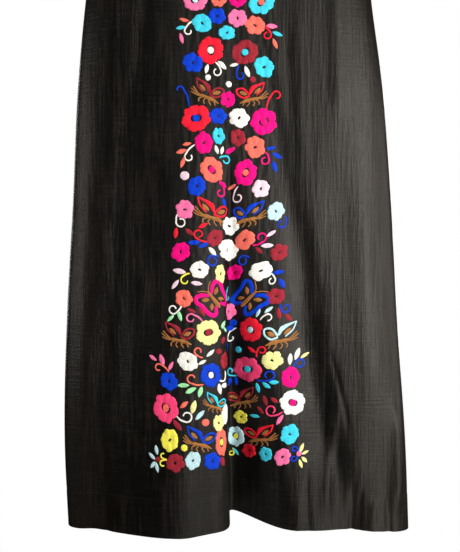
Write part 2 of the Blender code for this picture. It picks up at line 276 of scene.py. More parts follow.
def flat_x(share, height):
    """The x at a share of a panel's flat width, 0 at its left edge and 1 at its right."""
    left, right = half_widths(height)
    return left + (right - left) * share


def plan(side, x_flat, height):
    """Where the cloth that would lie at x_flat if it were flat is, seen from above."""
    left, right = half_widths(height)
    turn = section("turn", height)
    edge = np.minimum(x_flat - left, right - x_flat)
    edge = edge + turn * smooth((height - ARMHOLE_BASE) / ARMHOLE_PARTING)
    crown = quarter_round(edge / turn)

    below = np.maximum(ridge(x_flat) - height, 0.0)
    body = section("belly" if side == FRONT else "seat", height)
    stand_off = RIDGE_RADIUS + (body - RIDGE_RADIUS) * smooth(below / RIDGE_BLEND)
    over_bar = quarter_round(below / RIDGE_RADIUS)

    across = (x_flat - left) / (right - left)
    seam_y = section("left_y", height) * (1.0 - across) + section("right_y", height) * across
    x = x_flat
    y = seam_y + side * stand_off * crown * over_bar
    for middle, left_width, right_width, depth, lean, top, pull in FOLDS[side]:
        size = np.clip(1.0 - height / top, 0.0, None)
        from_middle = x_flat - middle * (1.0 - pull * (1.0 - size))
        narrowed = np.sqrt(size + 1e-9)
        bump = bell(from_middle, left_width * narrowed, right_width * narrowed) * size * crown
        x = x - lean * bump
        y = y + depth * bump
    return x, y


def ripples(waves, sway, x_flat, height):
    """Waves whose crests sway from side to side on their way up the cloth."""
    lift = 0.0
    for long_across, long_up, rise, sway_start, start in waves:
        crest = sway[0] * np.sin(height / sway[1] + sway_start)
        phase = x_flat / long_across + height / long_up + crest
        lift = lift + rise * np.sin(2.0 * math.pi * phase + start)
    return lift


def relief(side, x_flat, height):
    """How far creases, slow waves and puckers lift the cloth off its plain form."""
    lift = np.zeros(np.shape(x_flat))
    for x0, h0, x1, h1, bow, left_width, right_width, rise in CREASES[side]:
        length = math.hypot(x1 - x0, h1 - h0)
        ux = (x1 - x0) / length
        uh = (h1 - h0) / length
        t = ((x_flat - x0) * ux + (height - h0) * uh) / length
        across = (x_flat - x0) * uh - (height - h0) * ux - bow * 4.0 * t * (1.0 - t)
        fade = smooth(t / CREASE_RISE) * smooth((1.0 - t) / CREASE_FALL)
        lift += rise * bell(across, left_width, right_width) * fade
    quiet = smooth((ridge(x_flat) - height) / QUIET_BELOW)
    lift += quiet * ripples(WAVES, WAVE_SWAY, x_flat, height)
    if side == FRONT:
        flare = COLUMN_FLARE * smooth((COLUMN_FLARE_FROM - height) / COLUMN_FLARE_LENGTH)
        among = smooth((COLUMN_HALF + flare - np.abs(x_flat - COLUMN_MIDDLE)) / SIDE_FADE)
        among *= smooth((height - COLUMN_FOOT) / FOOT_FADE)
        among *= smooth((COLUMN_TOP - height) / TOP_FADE)
        lift += quiet * among * ripples(PUCKERS, PUCKER_SWAY, x_flat, height)
    left, right = half_widths(height)
    return lift * smooth(np.minimum(x_flat - left, right - x_flat) / QUIET_BESIDE)


def on_cloth(side, across, height, lift=0.0):
    """Points of a panel at these shares of its flat width (0 to 1) and heights, lifted off it."""
    def plain(share, at_height):
        x, y = plan(side, flat_x(share, at_height), at_height)
        return np.stack(np.broadcast_arrays(x, y, at_height), axis=-1)

    # Small steps along the cloth, as a share of its width and in millimetres, give its slope
    beside = 0.00004
    below = 0.02
    point = plain(across, height)
    to_right = plain(np.minimum(across + beside, 1.0), height)
    to_left = plain(np.maximum(across - beside, 0.0), height)
    out = -side * unit(np.cross(to_right - to_left, point - plain(across, height - below)))
    lift = lift + relief(side, flat_x(across, height), height)
    point = point + out * np.asarray(lift)[..., None]
    point[..., 2] += HEM_Z
    return point * MM


# Cloth lengths: for each panel and height, the flat share at each distance along the cloth
# from the panel's middle, so that what is sewn on keeps its size over the folds
TABLE_RISE = 5.0
TABLE_STEP = 0.5
TABLE_HEIGHTS = np.arange(-10.0, LENGTH + 31.0, TABLE_RISE)
TABLE_ALONG = np.arange(-400.0, 400.1, TABLE_STEP)
HALF_COLUMNS = 600


def cloth_table(side):
    """Flat shares by height and by distance along the cloth, and the reach to both edges."""
    shares = 0.5 + 0.5 * np.sin(np.linspace(-math.pi / 2, math.pi / 2, 2 * HALF_COLUMNS + 1))
    rows = []
    reaches = []
    for height in TABLE_HEIGHTS:
        along = distances(np.stack(plan(side, flat_x(shares, height), height), axis=-1))
        along -= along[HALF_COLUMNS]
        rows.append(np.interp(TABLE_ALONG, along, shares))
        reaches.append((-along[0], along[-1]))
    return np.array(rows), np.array(reaches)


TABLES = {side: cloth_table(side) for side in (FRONT, BACK)}


def flat_share(side, along, height):
    """The flat share at a distance along the cloth from the panel's middle."""
    table = TABLES[side][0]
    row = np.clip((height - TABLE_HEIGHTS[0]) / TABLE_RISE, 0.0, len(TABLE_HEIGHTS) - 1.001)
    column = np.clip((along - TABLE_ALONG[0]) / TABLE_STEP, 0.0, len(TABLE_ALONG) - 1.001)
    i = row.astype(int)
    j = column.astype(int)
    low = table[i, j] + (table[i, j + 1] - table[i, j]) * (column - j)
    high = table[i + 1, j] + (table[i + 1, j + 1] - table[i + 1, j]) * (column - j)
    return low + (high - low) * (row - i)


def reach(side, share, height):
    """Distance along the cloth at a share of the way from the middle (-1 left, 1 right)."""
    left, right = (np.interp(height, TABLE_HEIGHTS, edge) for edge in TABLES[side][1].T)
    return share * np.where(share < 0.0, left, right)


def new_object(name, data):
    """An object of this data, put in the scene."""
    added = bpy.data.objects.new(name, data)
    bpy.context.scene.collection.objects.link(added)
    return added


def new_piece(name, vertices, faces):
    """A mesh object of these points and faces, smooth all over."""
    mesh = bpy.data.meshes.new(name)
    mesh.from_pydata(np.asarray(vertices).reshape(-1, 3).tolist(), [], faces)
    mesh.update()
    mesh.shade_smooth()
    return new_object(name, mesh)


def grid_faces(rows, columns):
    """The faces of a grid of points that are numbered row by row."""
    return [(a, a + 1, a + columns + 1, a + columns)
            for a in range((rows - 1) * columns) if a % columns < columns - 1]


def points_of(piece):
    """The points of a piece's mesh, a row each."""
    points = np.zeros(len(piece.data.vertices) * 3)
    piece.data.vertices.foreach_get("co", points)
    return points.reshape(-1, 3)


def move_points(piece, points):
    """Put the points of a piece's mesh in these places."""
    piece.data.vertices.foreach_set("co", points.ravel())
    piece.data.update()


def write_uv(piece, name, across, up):
    """Give a piece a UV map, from two values for each of its points."""
    corners = np.zeros(len(piece.data.loops), dtype=np.int64)
    piece.data.loops.foreach_get("vertex_index", corners)
    places = np.stack((across, up), axis=-1)[corners]
    piece.data.uv_layers.new(name=name).data.foreach_set("uv", places.ravel())


def give_material(piece, material):
    """Give a piece this material and no other."""
    piece.data.materials.clear()
    piece.data.materials.append(material)


def finish(piece, material):
    """Give a piece its material and tie it to the dress."""
    give_material(piece, material)
    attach(piece, "root")


# Materials


def colour(code):
    """A linear colour from an sRGB hex code such as 1A2B3C."""
    parts = [int(code[i:i + 2], 16) / 255.0 for i in (0, 2, 4)]
    linear = [p / 12.92 if p <= 0.04045 else ((p + 0.055) / 1.055) ** 2.4 for p in parts]
    return (*linear, 1.0)


def new_material(name):
    """An empty material with its Principled shader."""
    material = bpy.data.materials.new(name)
    material.use_nodes = True
    return material, material.node_tree.nodes["Principled BSDF"]


def node(owner, kind, inputs=None, **settings):
    """Add a node, or set one that is there. Inputs go by name or number, and each is given a
    value, a socket to link, or a node whose first output is linked."""
    tree = owner.node_tree
    added = kind if isinstance(kind, bpy.types.Node) else tree.nodes.new(kind)
    for key, value in settings.items():
        setattr(added, key, value)
    for key, value in (inputs or {}).items():
        if isinstance(value, bpy.types.Node):
            value = value.outputs[0]
        if isinstance(value, bpy.types.NodeSocket):
            tree.links.new(value, added.inputs[key])
        else:
            added.inputs[key].default_value = value
    return added


def black_cotton(name, dark, light, seam_highlight, rough):
    """Black slubby plain-weave cotton: thick and thin yarns run up the cloth, so it is streaked
    with paler threads, dull from the front and bloomed where light skims it, with a painted
    highlight along the side seams."""
    material, shader = new_material(name)
    cloth = node(material, "ShaderNodeUVMap", uv_map="weave")
    # Slubs of the warp are some 85 mm long and those of the weft 55 mm, both drawn 4 to 5 mm
    # wide to show. Where several lie side by side, they make broad paler stripes.
    patterns = []
    for wide, high, detail, unevenness in ((0.0055, 0.085, 4.0, 0.62), (0.055, 0.0042, 2.0, 0.6),
                                           (0.018, 0.12, 3.0, 0.6)):
        at = node(material, "ShaderNodeMapping",
                  {"Vector": cloth, "Scale": (1 / wide, 1 / high, 1.0)})
        patterns.append(node(material, "ShaderNodeTexNoise",
                             {"Vector": at, "Scale": 1.0, "Detail": detail,
                              "Roughness": unevenness}, noise_dimensions="2D"))
    warp, weft, broad = patterns
    slubs = node(material, "ShaderNodeMapRange", {0: warp, 1: 0.42, 2: 0.76})
    cross = node(material, "ShaderNodeMapRange", {0: weft, 1: 0.42, 2: 0.72, 4: 0.5})
    stripes = node(material, "ShaderNodeMapRange", {0: broad, 1: 0.38, 2: 0.64, 3: 0.15, 4: 1.0})
    thick = node(material, "ShaderNodeMath", {0: slubs, 1: cross}, operation="ADD", use_clamp=True)
    pale = node(material, "ShaderNodeMath", {0: thick, 1: stripes}, operation="MULTIPLY")
    yarns = node(material, "ShaderNodeMix", {0: pale, 6: colour(dark), 7: colour(light)},
                 data_type="RGBA")
    # Painted highlight: the cloth is made lighter along the side seams, where it turns towards the
    # side lights
    across = node(material, "ShaderNodeSeparateXYZ", {0: cloth})
    from_middle = node(material, "ShaderNodeMath", {0: across}, operation="ABSOLUTE")
    seam_highlight_mask = node(material, "ShaderNodeMapRange", {0: from_middle, 1: 0.185, 2: 0.285, 4: 0.6},
                interpolation_type="SMOOTHSTEP")
    mixed = node(material, "ShaderNodeMix", {0: seam_highlight_mask, 6: yarns.outputs[2], 7: colour(seam_highlight)},
                 data_type="RGBA")
    # Among the flowers, where the stitches rough up the cloth, it has lost its pressed finish
    pressed = node(material, "ShaderNodeMapRange",
                   {0: from_middle, 1: 0.07, 2: 0.12, 3: rough, 4: 0.38},
                   interpolation_type="SMOOTHSTEP")
    # The weave itself is 0.5 mm, too fine to show, so it is drawn at 1.6 mm
    weave = node(material, "ShaderNodeTexBrick",
                 {"Vector": cloth, "Scale": 1.0, "Color1": (1, 1, 1, 1),
                  "Color2": (0.6, 0.6, 0.6, 1), "Mortar": (0, 0, 0, 1), "Mortar Size": 0.0003,
                  "Mortar Smooth": 1.0, "Brick Width": 0.0016, "Row Height": 0.0016},
                 offset=0.5, squash=1.0)
    height = node(material, "ShaderNodeMath", {0: weave.outputs[1], 1: 0.08, 2: thick},
                  operation="MULTIPLY_ADD")
    bump = node(material, "ShaderNodeBump", {"Strength": 0.5, "Distance": 0.0006, "Height": height})
    node(material, shader, {
        "Base Color": mixed.outputs[2], "Roughness": pressed, "Normal": bump, "IOR": 1.45,
        "Specular IOR Level": 0.36, "Sheen Weight": 0.02, "Sheen Roughness": 0.35,
        "Sheen Tint": colour("CFC4B8")})
    return material


def stranded_thread(name, code):
    """Stranded embroidery cotton in satin stitch: parallel threads with a soft lustre. The colour
    follows the bundles' bump: painted shade in the grooves between them, painted highlight on
    their crowns, and the same noise also gives an uneven dye."""
    material, shader = new_material(name)
    stitches = node(material, "ShaderNodeUVMap", uv_map="stitches")
    # A strand is 0.5 mm, too fine to show, so bundles are drawn at 1.3 mm
    strands_at = node(material, "ShaderNodeMapping",
                      {"Vector": stitches, "Scale": (1 / 0.0013, 1 / 0.012, 1.0)})
    strands = node(material, "ShaderNodeTexNoise",
                   {"Vector": strands_at, "Scale": 1.0, "Detail": 2.0, "Roughness": 0.6},
                   noise_dimensions="2D")
    # Painted shade and highlight: darker where the bundles' bump sinks, lighter on their crowns,
    # and also an uneven dye
    tone = node(material, "ShaderNodeMapRange", {0: strands, 1: 0.3, 2: 0.7, 3: 0.84, 4: 1.12})
    mixed = node(material, "ShaderNodeMix", {0: 1.0, 6: colour(code), 7: tone},
                 data_type="RGBA", blend_type="MULTIPLY")
    bump = node(material, "ShaderNodeBump",
                {"Strength": 0.5, "Distance": 0.0004, "Height": strands})
    node(material, shader, {
        "Base Color": mixed.outputs[2], "Roughness": 0.6, "Normal": bump, "IOR": 1.45,
        "Specular IOR Level": 0.12})
    return material


def sewing_thread(name, code):
    """Plain black polyester-cotton sewing thread, a little shinier than the cloth."""
    material, shader = new_material(name)
    place = node(material, "ShaderNodeTexCoord")
    # The twist is drawn 2 mm long
    twist = node(material, "ShaderNodeTexNoise",
                 {"Vector": place.outputs["Object"], "Scale": 1 / 0.002, "Detail": 1.0})
    tone = node(material, "ShaderNodeMapRange", {0: twist, 1: 0.3, 2: 0.7, 3: 0.7, 4: 1.1})
    mixed = node(material, "ShaderNodeMix", {0: 1.0, 6: colour(code), 7: tone},
                 data_type="RGBA", blend_type="MULTIPLY")
    node(material, shader, {"Base Color": mixed.outputs[2], "Roughness": 0.5, "IOR": 1.5})
    return material


def beech(name):
    """Steamed beech, planed and varnished: pale pinkish brown, with short darker flecks along
    the grain under a clear satin coat."""
    material, shader = new_material(name)
    place = node(material, "ShaderNodeTexCoord")
    # Grain lines some 2.4 mm apart along the bar, flecks 4 mm long
    grain_at = node(material, "ShaderNodeMapping",
                    {"Vector": place.outputs["Object"], "Scale": (12.0, 420.0, 420.0)})
    fleck_at = node(material, "ShaderNodeMapping",
                    {"Vector": place.outputs["Object"], "Scale": (250.0, 1400.0, 1400.0)})
    grain = node(material, "ShaderNodeTexNoise", {"Vector": grain_at, "Scale": 1.0, "Detail": 3.0})
    fleck = node(material, "ShaderNodeTexNoise", {"Vector": fleck_at, "Scale": 1.0, "Detail": 1.0})
    wood = node(material, "ShaderNodeMix", {0: grain, 6: colour("B98A5E"), 7: colour("D9B183")},
                data_type="RGBA")
    marks = node(material, "ShaderNodeMapRange", {0: fleck, 1: 0.62, 2: 0.72})
    mixed = node(material, "ShaderNodeMix", {0: marks, 6: wood.outputs[2], 7: colour("8A5F3C")},
                 data_type="RGBA")
    bump = node(material, "ShaderNodeBump", {"Strength": 0.1, "Distance": 0.0002, "Height": grain})
    node(material, shader, {
        "Base Color": mixed.outputs[2], "Roughness": 0.45, "Normal": bump, "Coat Weight": 0.5,
        "Coat Roughness": 0.2})
    return material


def zinc_wire(name):
    """Zinc-plated steel wire, drawn and bent: bright, with faint duller patches 3 mm across."""
    material, shader = new_material(name)
    place = node(material, "ShaderNodeTexCoord")
    marks = node(material, "ShaderNodeTexNoise",
                 {"Vector": place.outputs["Object"], "Scale": 1 / 0.003, "Detail": 3.0})
    rough = node(material, "ShaderNodeMapRange", {0: marks, 3: 0.2, 4: 0.36})
    node(material, shader, {"Base Color": colour("C9CBCB"), "Metallic": 1.0, "Roughness": rough})
    return material


# The fourth colour of each is the painted highlight along the side seams
COTTON_FRONT = black_cotton("black slub cotton, front", "020202", "1E1A17", "201C19", 0.56)
COTTON_BACK = black_cotton("black slub cotton, back", "020202", "1E1A17", "1E1A17", 0.38)
SEWING = sewing_thread("black sewing thread", "1B1917")

# The panels


NECK_SHARE = NECK_HALF / SHOULDER_HALF
PANEL_NAMES = {FRONT: "front_cloth", BACK: "back_cloth"}
# Stretches of columns, as shares of the half cloth, with how many are in each
PANEL_MIDDLE = {
    FRONT: ((-NECK_SHARE, -0.17, 30), (-0.17, 0.30, 74), (0.30, NECK_SHARE, 14)),
    BACK: ((-NECK_SHARE, NECK_SHARE, 56),),
}
PANEL_LEFT = {FRONT: ((NECK_SHARE, 0.93, 27), (0.93, 1.0, 8)),
              BACK: ((NECK_SHARE, 0.93, 20), (0.93, 1.0, 6))}
PANEL_RIGHT = {FRONT: ((NECK_SHARE, 0.93, 56), (0.93, 1.0, 8)),
               BACK: ((NECK_SHARE, 0.93, 20), (0.93, 1.0, 6))}
# Rows up to the armholes' base, and from there up
PANEL_ROWS = {FRONT: 190, BACK: 120}
UPPER_ROWS = {FRONT: 34, BACK: 26}
# Where columns meet the ends of the neckline, as angles round the bar
ROLL_ANGLES = (18.0, 36.0, 54.0, 72.0, 90.0)
SKIRT_MIDDLE = 440.0
# How far the hem's stitches draw the cloth in, and over what width; how far above them the
# turned-up cloth ends, and how far the cloth stands proud where it is double
STITCHED_IN = 0.35
STITCHED_WIDTH = 3.0
HEM_ABOVE = 2.0
HEM_PROUD = 0.2


def stretches(rows):
    """Evenly spaced values over each stretch of a table of (from, to, how many)."""
    values = [rows[0][0]]
    for start, end, count in rows:
        values.extend(start + (end - start) * (i + 1) / count for i in range(count))
    return values


def neckline_shares(count, neck_drop):
    """Shares at which that many columns, less one, end on the neckline, left to right."""
    on_bar = [RIDGE_RADIUS * (1.0 - math.cos(math.radians(a))) for a in ROLL_ANGLES]
    start = [0.0] + [math.asin(drop / neck_drop) for drop in on_bar]
    between = count - 2 * len(on_bar)
    free = [start[-1] + (math.pi - 2 * start[-1]) * i / between for i in range(1, between)]
    angles = start + free + [math.pi - angle for angle in reversed(start)]
    return [-NECK_SHARE * math.cos(angle) for angle in angles]


def panel_places(side):
    """The height and flat share of each point of a panel's grid, rows from the hem up."""
    right = stretches(PANEL_RIGHT[side])
    left = [-share for share in reversed(stretches(PANEL_LEFT[side]))]
    inside = stretches(PANEL_MIDDLE[side])
    neck = neckline_shares(len(inside) - 1, NECK_DROP[side])
    low_shares = np.array(left[:-1] + inside + right[1:])
    top_shares = np.array(left[:-1] + neck + right[1:])
    rise = np.linspace(0.0, 1.0, PANEL_ROWS[side])
    # Rows lie a little closer towards the hem
    lower = ARMHOLE_BASE * (0.94 * rise + 0.06 * rise ** 2)
    ways = np.sin(np.linspace(0.0, math.pi / 2, UPPER_ROWS[side] + 1))[1:]
    starts = np.concatenate((lower, np.full(len(ways), ARMHOLE_BASE)))[:, None]
    ways = np.concatenate((np.zeros(len(lower)), ways))[:, None]
    shares = low_shares + (top_shares - low_shares) * smooth(ways)
    heights = starts + ways * (top_edge(top_shares, NECK_DROP[side]) - starts)
    by_cloth = flat_share(side, reach(side, shares, heights), heights)
    # The panels meet at the side seams
    by_cloth[:, 0] = 0.0
    by_cloth[:, -1] = 1.0
    blend = smooth((heights - ARMHOLE_BASE) / EVEN_RISE)
    return heights, by_cloth + ((1.0 + shares) / 2 - by_cloth) * blend, shares


def sew_panel(side, material):
    """One panel: a thin shell, thicker where the hem is turned up inside it."""
    heights, across, shares = panel_places(side)
    rows, columns = heights.shape
    hem = smooth((HEM_TURN + HEM_ABOVE - heights) / STITCHED_WIDTH)
    dip = STITCHED_IN * bell(heights - HEM_TURN, STITCHED_WIDTH, STITCHED_WIDTH)
    surface = HEM_PROUD * hem - dip
    thickness = CLOTH + (HEM_CLOTH - CLOTH) * hem
    outer = on_cloth(side, across, heights, surface)
    inner = on_cloth(side, across, heights, surface - thickness)
    vertices = np.concatenate((outer.reshape(-1, 3), inner.reshape(-1, 3)))
    count = rows * columns
    faces = []
    for quad in grid_faces(rows, columns):
        faces.append(quad)
        faces.append(tuple(k + count for k in reversed(quad)))
    rim = list(range(columns))
    rim += [i * columns + columns - 1 for i in range(1, rows)]
    rim += [(rows - 1) * columns + j for j in range(columns - 2, -1, -1)]
    rim += [i * columns for i in range(rows - 2, 0, -1)]
    for a, b in zip(rim, rim[1:] + rim[:1]):
        faces.append((b, a, a + count, b + count))
    if side == BACK:
        faces = [tuple(reversed(face)) for face in faces]
    panel = new_piece(PANEL_NAMES[side], vertices, faces)
    # The warp hangs plumb on both sides of the fold, so the pattern goes by the width in place,
    # with what the folds take up half way up the skirt added to it
    half_way = np.abs(heights[:, columns // 2] - SKIRT_MIDDLE).argmin()
    taken_up = (reach(side, shares, heights) * MM - outer[..., 0])[half_way]
    along = (outer[..., 0] + taken_up).ravel()
    write_uv(panel, "weave", np.tile(along, 2), np.tile(heights.ravel() * MM, 2))
    panel.data.set_sharp_from_angle(angle=math.radians(60.0))
    finish(panel, material)
    return panel


front_cloth = sew_panel(FRONT, COTTON_FRONT)
back_cloth = sew_panel(BACK, COTTON_BACK)
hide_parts("front")
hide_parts("back")


# The embroidery's chart. Threads: a cotton of each colour.
THREADS = {
    "cerise": "F40A8A", "rose": "FF4A84", "pink": "FD7CB6", "pale_pink": "F9DEF3",
    "coral": "FC786A", "red": "F7223C", "maroon": "9E2A3A", "blue": "0A42DA",
    "turquoise": "44DAFB", "pale_blue": "C4ECFA", "white": "F9FCFC", "yellow": "FFFB60",
    "pale_yellow": "FAF8AA", "mint": "A4F2B6", "brown": "A87340",
}

# Flowers: x, y, half width, half height, thread, and for a large one the thread of its middle
FLOWERS = (
    (195, 0, 12, 12, "pink", "pale_blue"), (219, 0, 7.5, 7.5, "coral"),
    (237.5, 0, 8, 8, "cerise"), (261.5, 2, 13, 13, "turquoise", "coral"),
    (202, 23, 9.7, 9.7, "turquoise"), (217, 16, 8.5, 8.8, "blue"),
    (237.3, 17.8, 9.5, 9.3, "pink"), (227, 32.5, 7.3, 8.2, "turquoise"),
    (255, 25, 10, 10, "coral"), (210.6, 50, 13.3, 13.5, "red", "white"),
    (245, 52, 12.7, 13, "maroon", "turquoise"), (193, 63, 10, 10, "blue"),
    (264, 67, 10.8, 10.5, "turquoise"), (228, 99, 7.4, 8.6, "cerise"),
    (196, 118, 14, 14, "red", "blue"), (218, 116, 8, 9.5, "blue"),
    (239, 117.5, 10, 9.7, "white"), (263.6, 122, 13.2, 13.8, "cerise", "cerise"),
    (218.5, 136.3, 6.2, 9, "turquoise"), (204, 143, 9.3, 10.8, "cerise"),
    (238, 137.5, 8.5, 8.8, "maroon"), (255.3, 147, 11.2, 10.5, "coral"),
    (211.7, 170, 12, 13, "coral", "cerise"), (245.5, 173, 12.8, 12.8, "cerise", "coral"),
    (196.6, 186, 9.5, 9.8, "blue"), (261, 188.5, 8.6, 9.3, "pale_pink"),
    (184.8, 209.2, 9.6, 9, "pink"), (275.8, 211.5, 9.2, 9.3, "pale_blue"),
    (229, 226, 7.5, 10, "white"), (215, 238, 8, 9.2, "maroon"),
    (244.3, 240, 10.3, 10, "coral"), (227, 250.3, 7.2, 11, "white"),
    (180.5, 252, 9.2, 9.8, "cerise"), (279.3, 252.5, 8.9, 9, "maroon"),
    (199.7, 270, 9.2, 9, "white"), (260.6, 270.5, 11.6, 10.2, "white"),
    (220.8, 273.6, 5.2, 9.3, "pale_yellow"), (234.4, 272.7, 8.2, 8.8, "cerise"),
    (228.4, 311.7, 4.5, 9.4, "pink"), (183.8, 298.2, 9.2, 8.4, "coral"),
    (276, 296.2, 9.2, 8.8, "maroon"), (208.3, 332.2, 12.2, 13.6, "pale_yellow", "maroon"),
    (250.2, 330, 12.2, 12.3, "red", "pale_blue"), (271.8, 360.3, 11, 10, "pale_yellow"),
    (187.6, 361.8, 9.6, 10.2, "white"), (225.2, 360, 4.0, 9, "maroon"),
    (169.2, 381.6, 8.6, 9.2, "blue"), (211, 375.3, 10.6, 12.7, "blue", "white"),
    (247.3, 369.4, 13.3, 13.5, "rose", "turquoise"), (291, 377.4, 10.3, 10.6, "cerise"),
    (165.8, 408.3, 12, 15.4, "rose", "coral"), (240.8, 416.9, 6.9, 7, "yellow"),
    (293, 403.2, 12.8, 13.4, "white", "cerise"), (218.7, 423.1, 5.4, 9, "pale_yellow"),
    (169.6, 440.3, 9.2, 10.8, "yellow"), (221.5, 442.4, 6.0, 13.2, "coral", "yellow"),
    (236, 436.2, 9.4, 11.8, "pale_blue", "yellow"), (289.8, 434.6, 9.8, 9.8, "turquoise"),
    (175, 462.8, 8.6, 9.8, "maroon"), (193.3, 461, 8.4, 8.7, "pale_blue"),
    (212.2, 461.5, 8.2, 9.3, "blue"), (248.8, 450.4, 7.2, 7.8, "red"),
    (265.4, 453.8, 7, 7.4, "turquoise"), (282.4, 456.7, 8.8, 8.8, "pink"),
)

# Leaves: x, y, angle up from the right, length, thread
LEAVES = (
    (184.2, 19.6, -15, 10, "coral"), (181, 27.5, 10, 10, "turquoise"),
    (181.4, 38.5, -75, 11, "pink"), (271.9, 26.3, -5, 11.5, "pink"),
    (277.5, 34, -20, 11, "turquoise"), (274.8, 43.8, -68, 11, "coral"),
    (206.6, 68.4, 75, 10, "white"), (222, 65.2, -42, 12, "white"),
    (234.3, 64.2, 15, 9.5, "white"), (247, 71.5, -70, 12, "white"),
    (186.7, 143.6, 10, 9, "coral"), (181.6, 151, 15, 11, "coral"),
    (182.8, 162.2, 70, 12, "coral"), (216.7, 149.4, -72, 9.5, "white"),
    (222.2, 150.6, 80, 8.5, "white"), (230.2, 150.6, 28, 11.5, "cerise"),
    (271.3, 148.2, 10, 10, "blue"), (277.3, 155.8, -28, 11, "blue"),
    (274.5, 166.2, -68, 11.5, "blue"), (223, 184.5, -40, 9.5, "cerise"),
    (231.8, 187, 35, 9.5, "coral"), (224.6, 202.5, -72, 9, "blue"),
    (175.8, 233.3, 84, 11, "red"), (189.5, 232, -40, 11, "maroon"),
    (202.9, 225.9, 25, 11, "red"), (194.3, 242.6, 2, 13, "blue"),
    (203.3, 245.4, 25, 10.5, "blue"), (212.4, 251, -48, 11, "white"),
    (270.9, 233.8, 35, 11, "pale_pink"), (267, 245.8, 3, 12.5, "pale_pink"),
    (258.8, 250.6, -40, 9.5, "maroon"), (179.6, 271, -12, 12.5, "pale_pink"),
    (175.3, 284.6, 52, 11.5, "pale_pink"), (196.4, 283, -8, 11.5, "pale_pink"),
    (278.6, 272.3, 8, 11.5, "blue"), (282.1, 282.9, -52, 12, "blue"),
    (170.6, 318.2, 42, 9.5, "mint"), (179.6, 316, -72, 11, "mint"),
    (191.3, 310.4, -25, 9.5, "maroon"), (201.6, 312, -55, 9.5, "maroon"),
    (258, 313, 72, 9, "pale_blue"), (268.7, 309.5, 38, 10, "pale_blue"),
    (279, 313.8, -70, 12, "maroon"), (289, 317.3, -40, 10.5, "maroon"),
    (223.5, 324.6, 75, 8, "mint"), (225.6, 330, -50, 7.5, "mint"),
    (223.5, 340.5, 80, 7.5, "maroon"), (227.4, 347.4, 82, 8, "blue"),
    (210.3, 353.4, 42, 10, "white"), (251.2, 349.4, -32, 9.5, "red"),
    (152.9, 357.9, -35, 9, "pink"), (161.8, 359.5, -72, 11.5, "pink"),
    (170.8, 366.3, 62, 10, "pink"), (202.4, 362.1, 25, 9, "white"),
    (290.5, 359.5, -86, 12, "white"), (298.1, 354.2, 76, 12.5, "white"),
    (305.5, 355.3, 36, 10, "pale_yellow"), (183.4, 385.3, 2, 11.5, "mint"),
    (190.8, 390.5, 24, 12, "mint"), (200.2, 391.6, 72, 11, "mint"),
    (257.6, 387.4, -70, 10.5, "turquoise"), (266, 385.3, -28, 10.5, "turquoise"),
    (273.9, 382.1, 2, 10.5, "turquoise"), (219.7, 388.9, -82, 11, "white"),
    (229.2, 381.6, 82, 9, "blue"), (236, 380.7, -78, 9.5, "blue"),
    (183.9, 404.5, 35, 11, "coral"), (193.6, 406.8, 72, 13.5, "pale_yellow"),
    (199.9, 415.2, 44, 12.5, "pale_blue"), (177.3, 425.2, -52, 13, "maroon"),
    (265, 400.5, -66, 11, "maroon"), (274.4, 400.5, -30, 9.5, "maroon"),
    (260.2, 410, -45, 9.5, "maroon"), (279.7, 420, 62, 12, "pink"),
    (254.4, 416, 0, 9.5, "turquoise"), (222.6, 461.5, -80, 10, "maroon"),
    (236, 451.5, -52, 9, "turquoise"), (301.8, 448.4, 76, 10, "pale_yellow"),
    (305.5, 452.8, 25, 7.5, "pale_yellow"), (304.3, 459.6, -42, 8, "pale_yellow"),
    (300.7, 464.2, -62, 10, "pale_yellow"), (156.4, 450, -82, 9.5, "pale_blue"),
    (151.8, 455.8, -48, 8.5, "pale_blue"), (152.9, 464.7, 55, 8, "pale_blue"),
    (156.8, 467.3, -80, 10, "pale_blue"),
)
# Broad leaves on the fold: x, y, angle, length, width, thread
BROAD_LEAVES = (
    (225.7, 414.2, 87, 20.5, 8.4, "white"),
)

# Dots: x, y, radius, thread
DOTS = (
    (208, 77.8, 3.1, "white"), (228.7, 83.8, 3.1, "white"), (252.8, 79.4, 3.2, "maroon"),
    (184.8, 175.4, 4.5, "pale_pink"), (233.6, 322.5, 3.6, "blue"), (228.9, 328.6, 3.0, "blue"),
    (218.8, 351.2, 2.9, "maroon"), (238.2, 349.7, 3.3, "turquoise"), (225, 385.3, 2.6, "white"),
    (205.8, 422.8, 3.6, "coral"), (184.3, 448.1, 3.4, "yellow"), (157.8, 459.4, 2.6, "maroon"),
    (299.2, 453.8, 2.8, "pink"),
)

